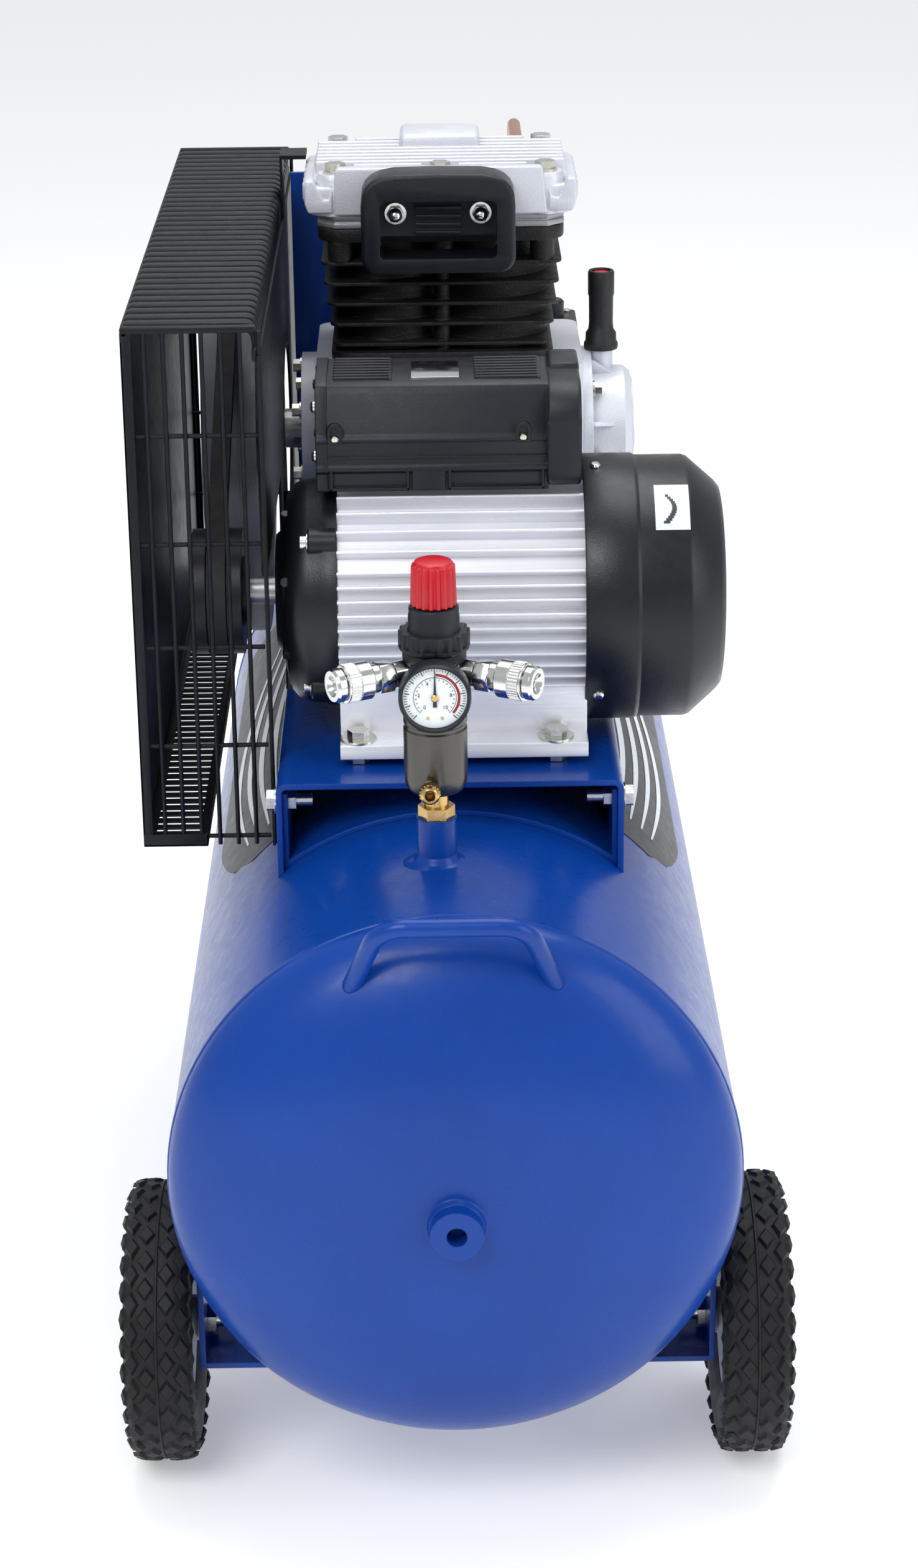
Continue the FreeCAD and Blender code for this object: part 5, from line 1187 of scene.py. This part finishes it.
COCK = (middle("drain_petcock").x, corner("drain_petcock", 0, 1).y, middle("drain_petcock").z)
piece("drain_tap",
      [lathe([(2.6, 0), (4.2, 0), (4.2, 3.2), (6.2, 4), (6.5, 5.2), (6.5, 11), (5.8, 13), (4.6, 14),
                           (3.4, 13.6), (2.9, 12), (2.6, 8)], COCK, "-y", 40, closed=True)] +
      [rod(0.7, Vector(COCK) + Vector((6.3 * math.cos(FULL * n / 18), -5.4, 6.3 * math.sin(FULL * n / 18))),
           Vector(COCK) + Vector((6.3 * math.cos(FULL * n / 18), -11, 6.3 * math.sin(FULL * n / 18))), 6)
       for n in range(18)],
      brass, "petcock", ("drain_petcock",))
piece("tap_seat", [lathe([(0, 0), (5, 0), (5, 3), (2.3, 3.4), (2.3, 6), (0, 6)],
                         (COCK[0], COCK[1] + 3.6, COCK[2]), "-y", 32)], brass)

# ------------------------------------------------------------------ wheels
TYRE_RADIUS = extent("tyre_left").z / 2
TYRE_HALF = extent("tyre_left").x / 2
RIM_RADIUS = extent("wheel_rim_left").z / 2


def tyre(node):
    """A solid tyre with staggered rows of diamond blocks and a seam down its middle."""
    hub = middle(node)
    top, half, rim = TYRE_RADIUS - 2.6, TYRE_HALF, RIM_RADIUS + 0.1
    side = [(rim, half - 6), (rim + 4, half - 3), (rim + 14, half * 0.985), (top - 13, half * 0.985),
            (top - 5, half - 2.4), (top - 1.6, half - 6), (top, half - 12), (top, 1.1), (top + 1.2, 0.7)]
    profile = side + [(radius, -x) for radius, x in reversed(side)]
    shapes = [lathe(profile, hub, "x", 96, closed=True)]
    wide = half * 0.27
    rows = ((half * 0.3, top - 0.4, wide, 0), (half * 0.7, top - 1.3, wide * 0.9, 14),
            (half * 0.93, top - 8, wide * 0.6, 56))
    count = 30
    long = math.pi * TYRE_RADIUS / count * 0.86
    for sign in (-1, 1):
        for row, (x, radius, across, lean) in enumerate(rows):
            shift = 0.5 * ((row + (sign > 0)) % 2)
            for number in range(count):
                pad = bmesh.new()
                bmesh.ops.create_cone(pad, cap_ends=True, segments=4, radius1=1.0, radius2=0.7, depth=2.6)
                bmesh.ops.scale(pad, vec=(across, long, 1), verts=pad.verts)
                bmesh.ops.translate(pad, vec=(0, 0, 1.3), verts=pad.verts)
                turn = FULL * (number + shift) / count
                pose = (Matrix.Translation(hub) @ Matrix.Rotation(turn, 4, "X")
                        @ Matrix.Translation((sign * x, 0,
                                              radius)) @ Matrix.Rotation(math.radians(sign * lean), 4, "Y"))
                bmesh.ops.transform(pad, matrix=pose, verts=pad.verts)
                shapes.append(pad)
    return shapes


def wheel_disc(node):
    """A dished steel wheel with a hub and rolled edges."""
    low, high, edge = corner(node).x, corner(node, 1).x, RIM_RADIUS
    hub, half = middle("tyre" + node[len("wheel_rim"):]), TYRE_HALF - 6.2
    out = 1 if hub.x > 0 else -1
    inner, outer = (low - hub.x, high - hub.x) if out > 0 else (hub.x - high, hub.x - low)
    profile = [(6.1, inner), (15, inner), (16, inner + 2), (16, -6), (22, -4), (40, -1), (46, 3),
               (edge - 6, half - 3),
               (edge - 2, half), (edge, half), (edge, half - 2), (edge - 2.5, half - 5),
               (edge - 2.5, 5 - half),
               (edge, 2 - half), (edge, -half), (edge - 2, -half), (edge - 6, 3 - half), (edge - 8, 0),
               (44, 0),
               (36, 3), (22, 3), (17, 5), (15, outer - 1), (14, outer), (6.1, outer)]
    return [lathe([(radius, out * x) for radius, x in profile], hub, "x", 72, closed=True)]


for side_name in HOSE_ENDS:
    piece("tread_" + side_name, tyre("tyre_" + side_name), tyre_rubber, "wheel_" + side_name,
          ("tyre_" + side_name,), smooth=30)
    piece("wheel_disc_" + side_name, wheel_disc("wheel_rim_" + side_name), rim_paint,
          "wheel_" + side_name, ("wheel_rim_" + side_name,))

# ------------------------------------------------------------------ receiver trim
TANK_Z = middle("tank").z
TANK_RADIUS = extent("tank").x / 2


def weld_flare(radius, place, axis, spread=5):
    """A smooth fillet of weld round a boss."""
    rows = [(radius - 0.3, spread), (radius + 0.3, spread * 0.75), (radius + spread * 0.3, spread * 0.3),
            (radius + spread * 0.8, 0.6), (radius + spread * 1.3, -1.5), (radius - 0.3, -1.5)]
    return lathe(rows, place, axis, 64, closed=True)


TANK_END = extent("tank").y / 2
END_BOSS, TOP_BUNG = 17, 13
welds = [weld_flare(END_BOSS, (0, -TANK_END + 2.2, TANK_Z), "-y", 7),
         weld_flare(END_BOSS, (0, TANK_END - 2.2, TANK_Z), "y", 7),
         weld_flare(TOP_BUNG, (REG_X, REG_Y, TANK_Z + TANK_RADIUS - 1), "z", 7)]
SEAM = 425
for y in (-SEAM, SEAM):
    bead = [(TANK_RADIUS - 1, -3), (TANK_RADIUS + 0.5, -2), (TANK_RADIUS + 0.9, 0), (TANK_RADIUS + 0.5, 2),
            (TANK_RADIUS - 1, 3)]
    welds.append(lathe(bead, (0, y, TANK_Z), "y", 128, closed=True))
piece("receiver_welds", welds, blue_paint)


def on_tank(rows, lift):
    """A patch lying on the receiver: rows of (y, low turn, high turn), turns in degrees above the middle."""
    return wrapped(rows, TANK_RADIUS + lift, (0, TANK_Z), "y")


def mirror(turn, side):
    """The same height on the other side of the receiver."""
    return turn if side > 0 else 180 - turn


def decal_rows(side):
    """The dark panel narrows to a slanted, round nose at the near end."""
    rows = []
    for step in range(25):
        share = step / 24
        y = -190 + 520 * share
        nose = min(1.0, math.sqrt(share * 5.0))
        rows.append((y, mirror(26 + 16 * (1 - nose), side), mirror(54 + 6 * nose, side)))
    return rows


def swoosh_rows(side, number):
    """One of the pale lines that sweep along the panel and fan out."""
    rows = []
    for step in range(29):
        share = step / 28
        y = -150 + 420 * share
        mid = 50 - 3.4 * number - (9 + 1.5 * number) * math.sin(math.pi * share) * 0.8 + 6 * share
        half = 0.25 + 0.75 * math.sin(math.pi * share)
        rows.append((y, mirror(mid - half, side), mirror(mid + half, side)))
    return rows


for side_name, side in HOSE_ENDS.items():
    piece("decal_panel_" + side_name, [on_tank(decal_rows(side), 0.35)], decal_grey)
    piece("decal_lines_" + side_name, [on_tank(swoosh_rows(side, n), 0.6) for n in range(4)], decal_white)

# ------------------------------------------------------------------ floor, light and camera
def area_light(name, place, aim, size, power, colour=(1, 1, 1)):
    data = bpy.data.lights.new(name, "AREA")
    data.shape = "RECTANGLE"
    data.size, data.size_y = size
    data.energy = power
    data.color = colour
    lamp = bpy.data.objects.new(name, data)
    lamp.location = place
    lamp.rotation_euler = (Vector(aim) - Vector(place)).to_track_quat("-Z", "Y").to_euler()
    bpy.context.scene.collection.objects.link(lamp)


def studio():
    ground = bmesh.new()
    bmesh.ops.create_grid(ground, x_segments=2, y_segments=2, size=12)
    floor = as_object("floor", ground)
    paper = bpy.data.materials.new("paper_floor")
    paper.use_nodes = True
    shader = paper.node_tree.nodes["Principled BSDF"]
    shader.inputs["Base Color"].default_value = (0.9, 0.9, 0.9, 1)
    shader.inputs["Roughness"].default_value = 0.9
    shader.inputs["Emission Color"].default_value = (1, 1, 1, 1)
    shader.inputs["Emission Strength"].default_value = 0.3
    floor.data.materials.append(paper)
    world = bpy.data.worlds.new("soft_room")
    world.use_nodes = True
    world.node_tree.nodes["Background"].inputs["Color"].default_value = (0.95, 0.97, 1.0, 1)
    world.node_tree.nodes["Background"].inputs["Strength"].default_value = 0.58
    bpy.context.scene.world = world
    area_light("key", (-1.2, -2.6, 3.0), (0, -0.1, 0.45), (1.6, 1.6), 58)
    area_light("fill", (2.6, -1.6, 1.6), (0, 0, 0.5), (1.5, 2.2), 26, (0.94, 0.97, 1.0))
    area_light("top", (0.3, 0.6, 3.2), (0, 0, 0.5), (2.2, 2.2), 52)


studio()
bpy.context.scene.view_settings.view_transform = "Standard"

CAMERA_PLACE = (-0.0068, -2.3627, 1.2883)
CAMERA_ANGLES = (68.419, 0.639, -0.606)
LENS = 77.86


def photo_camera():
    data = bpy.data.cameras.new("camera")
    data.lens = LENS
    data.sensor_width = 36
    data.clip_end = 60
    camera = bpy.data.objects.new("camera", data)
    camera.location = CAMERA_PLACE
    camera.rotation_euler = [math.radians(angle) for angle in CAMERA_ANGLES]
    bpy.context.scene.collection.objects.link(camera)
    bpy.context.scene.camera = camera


photo_camera()
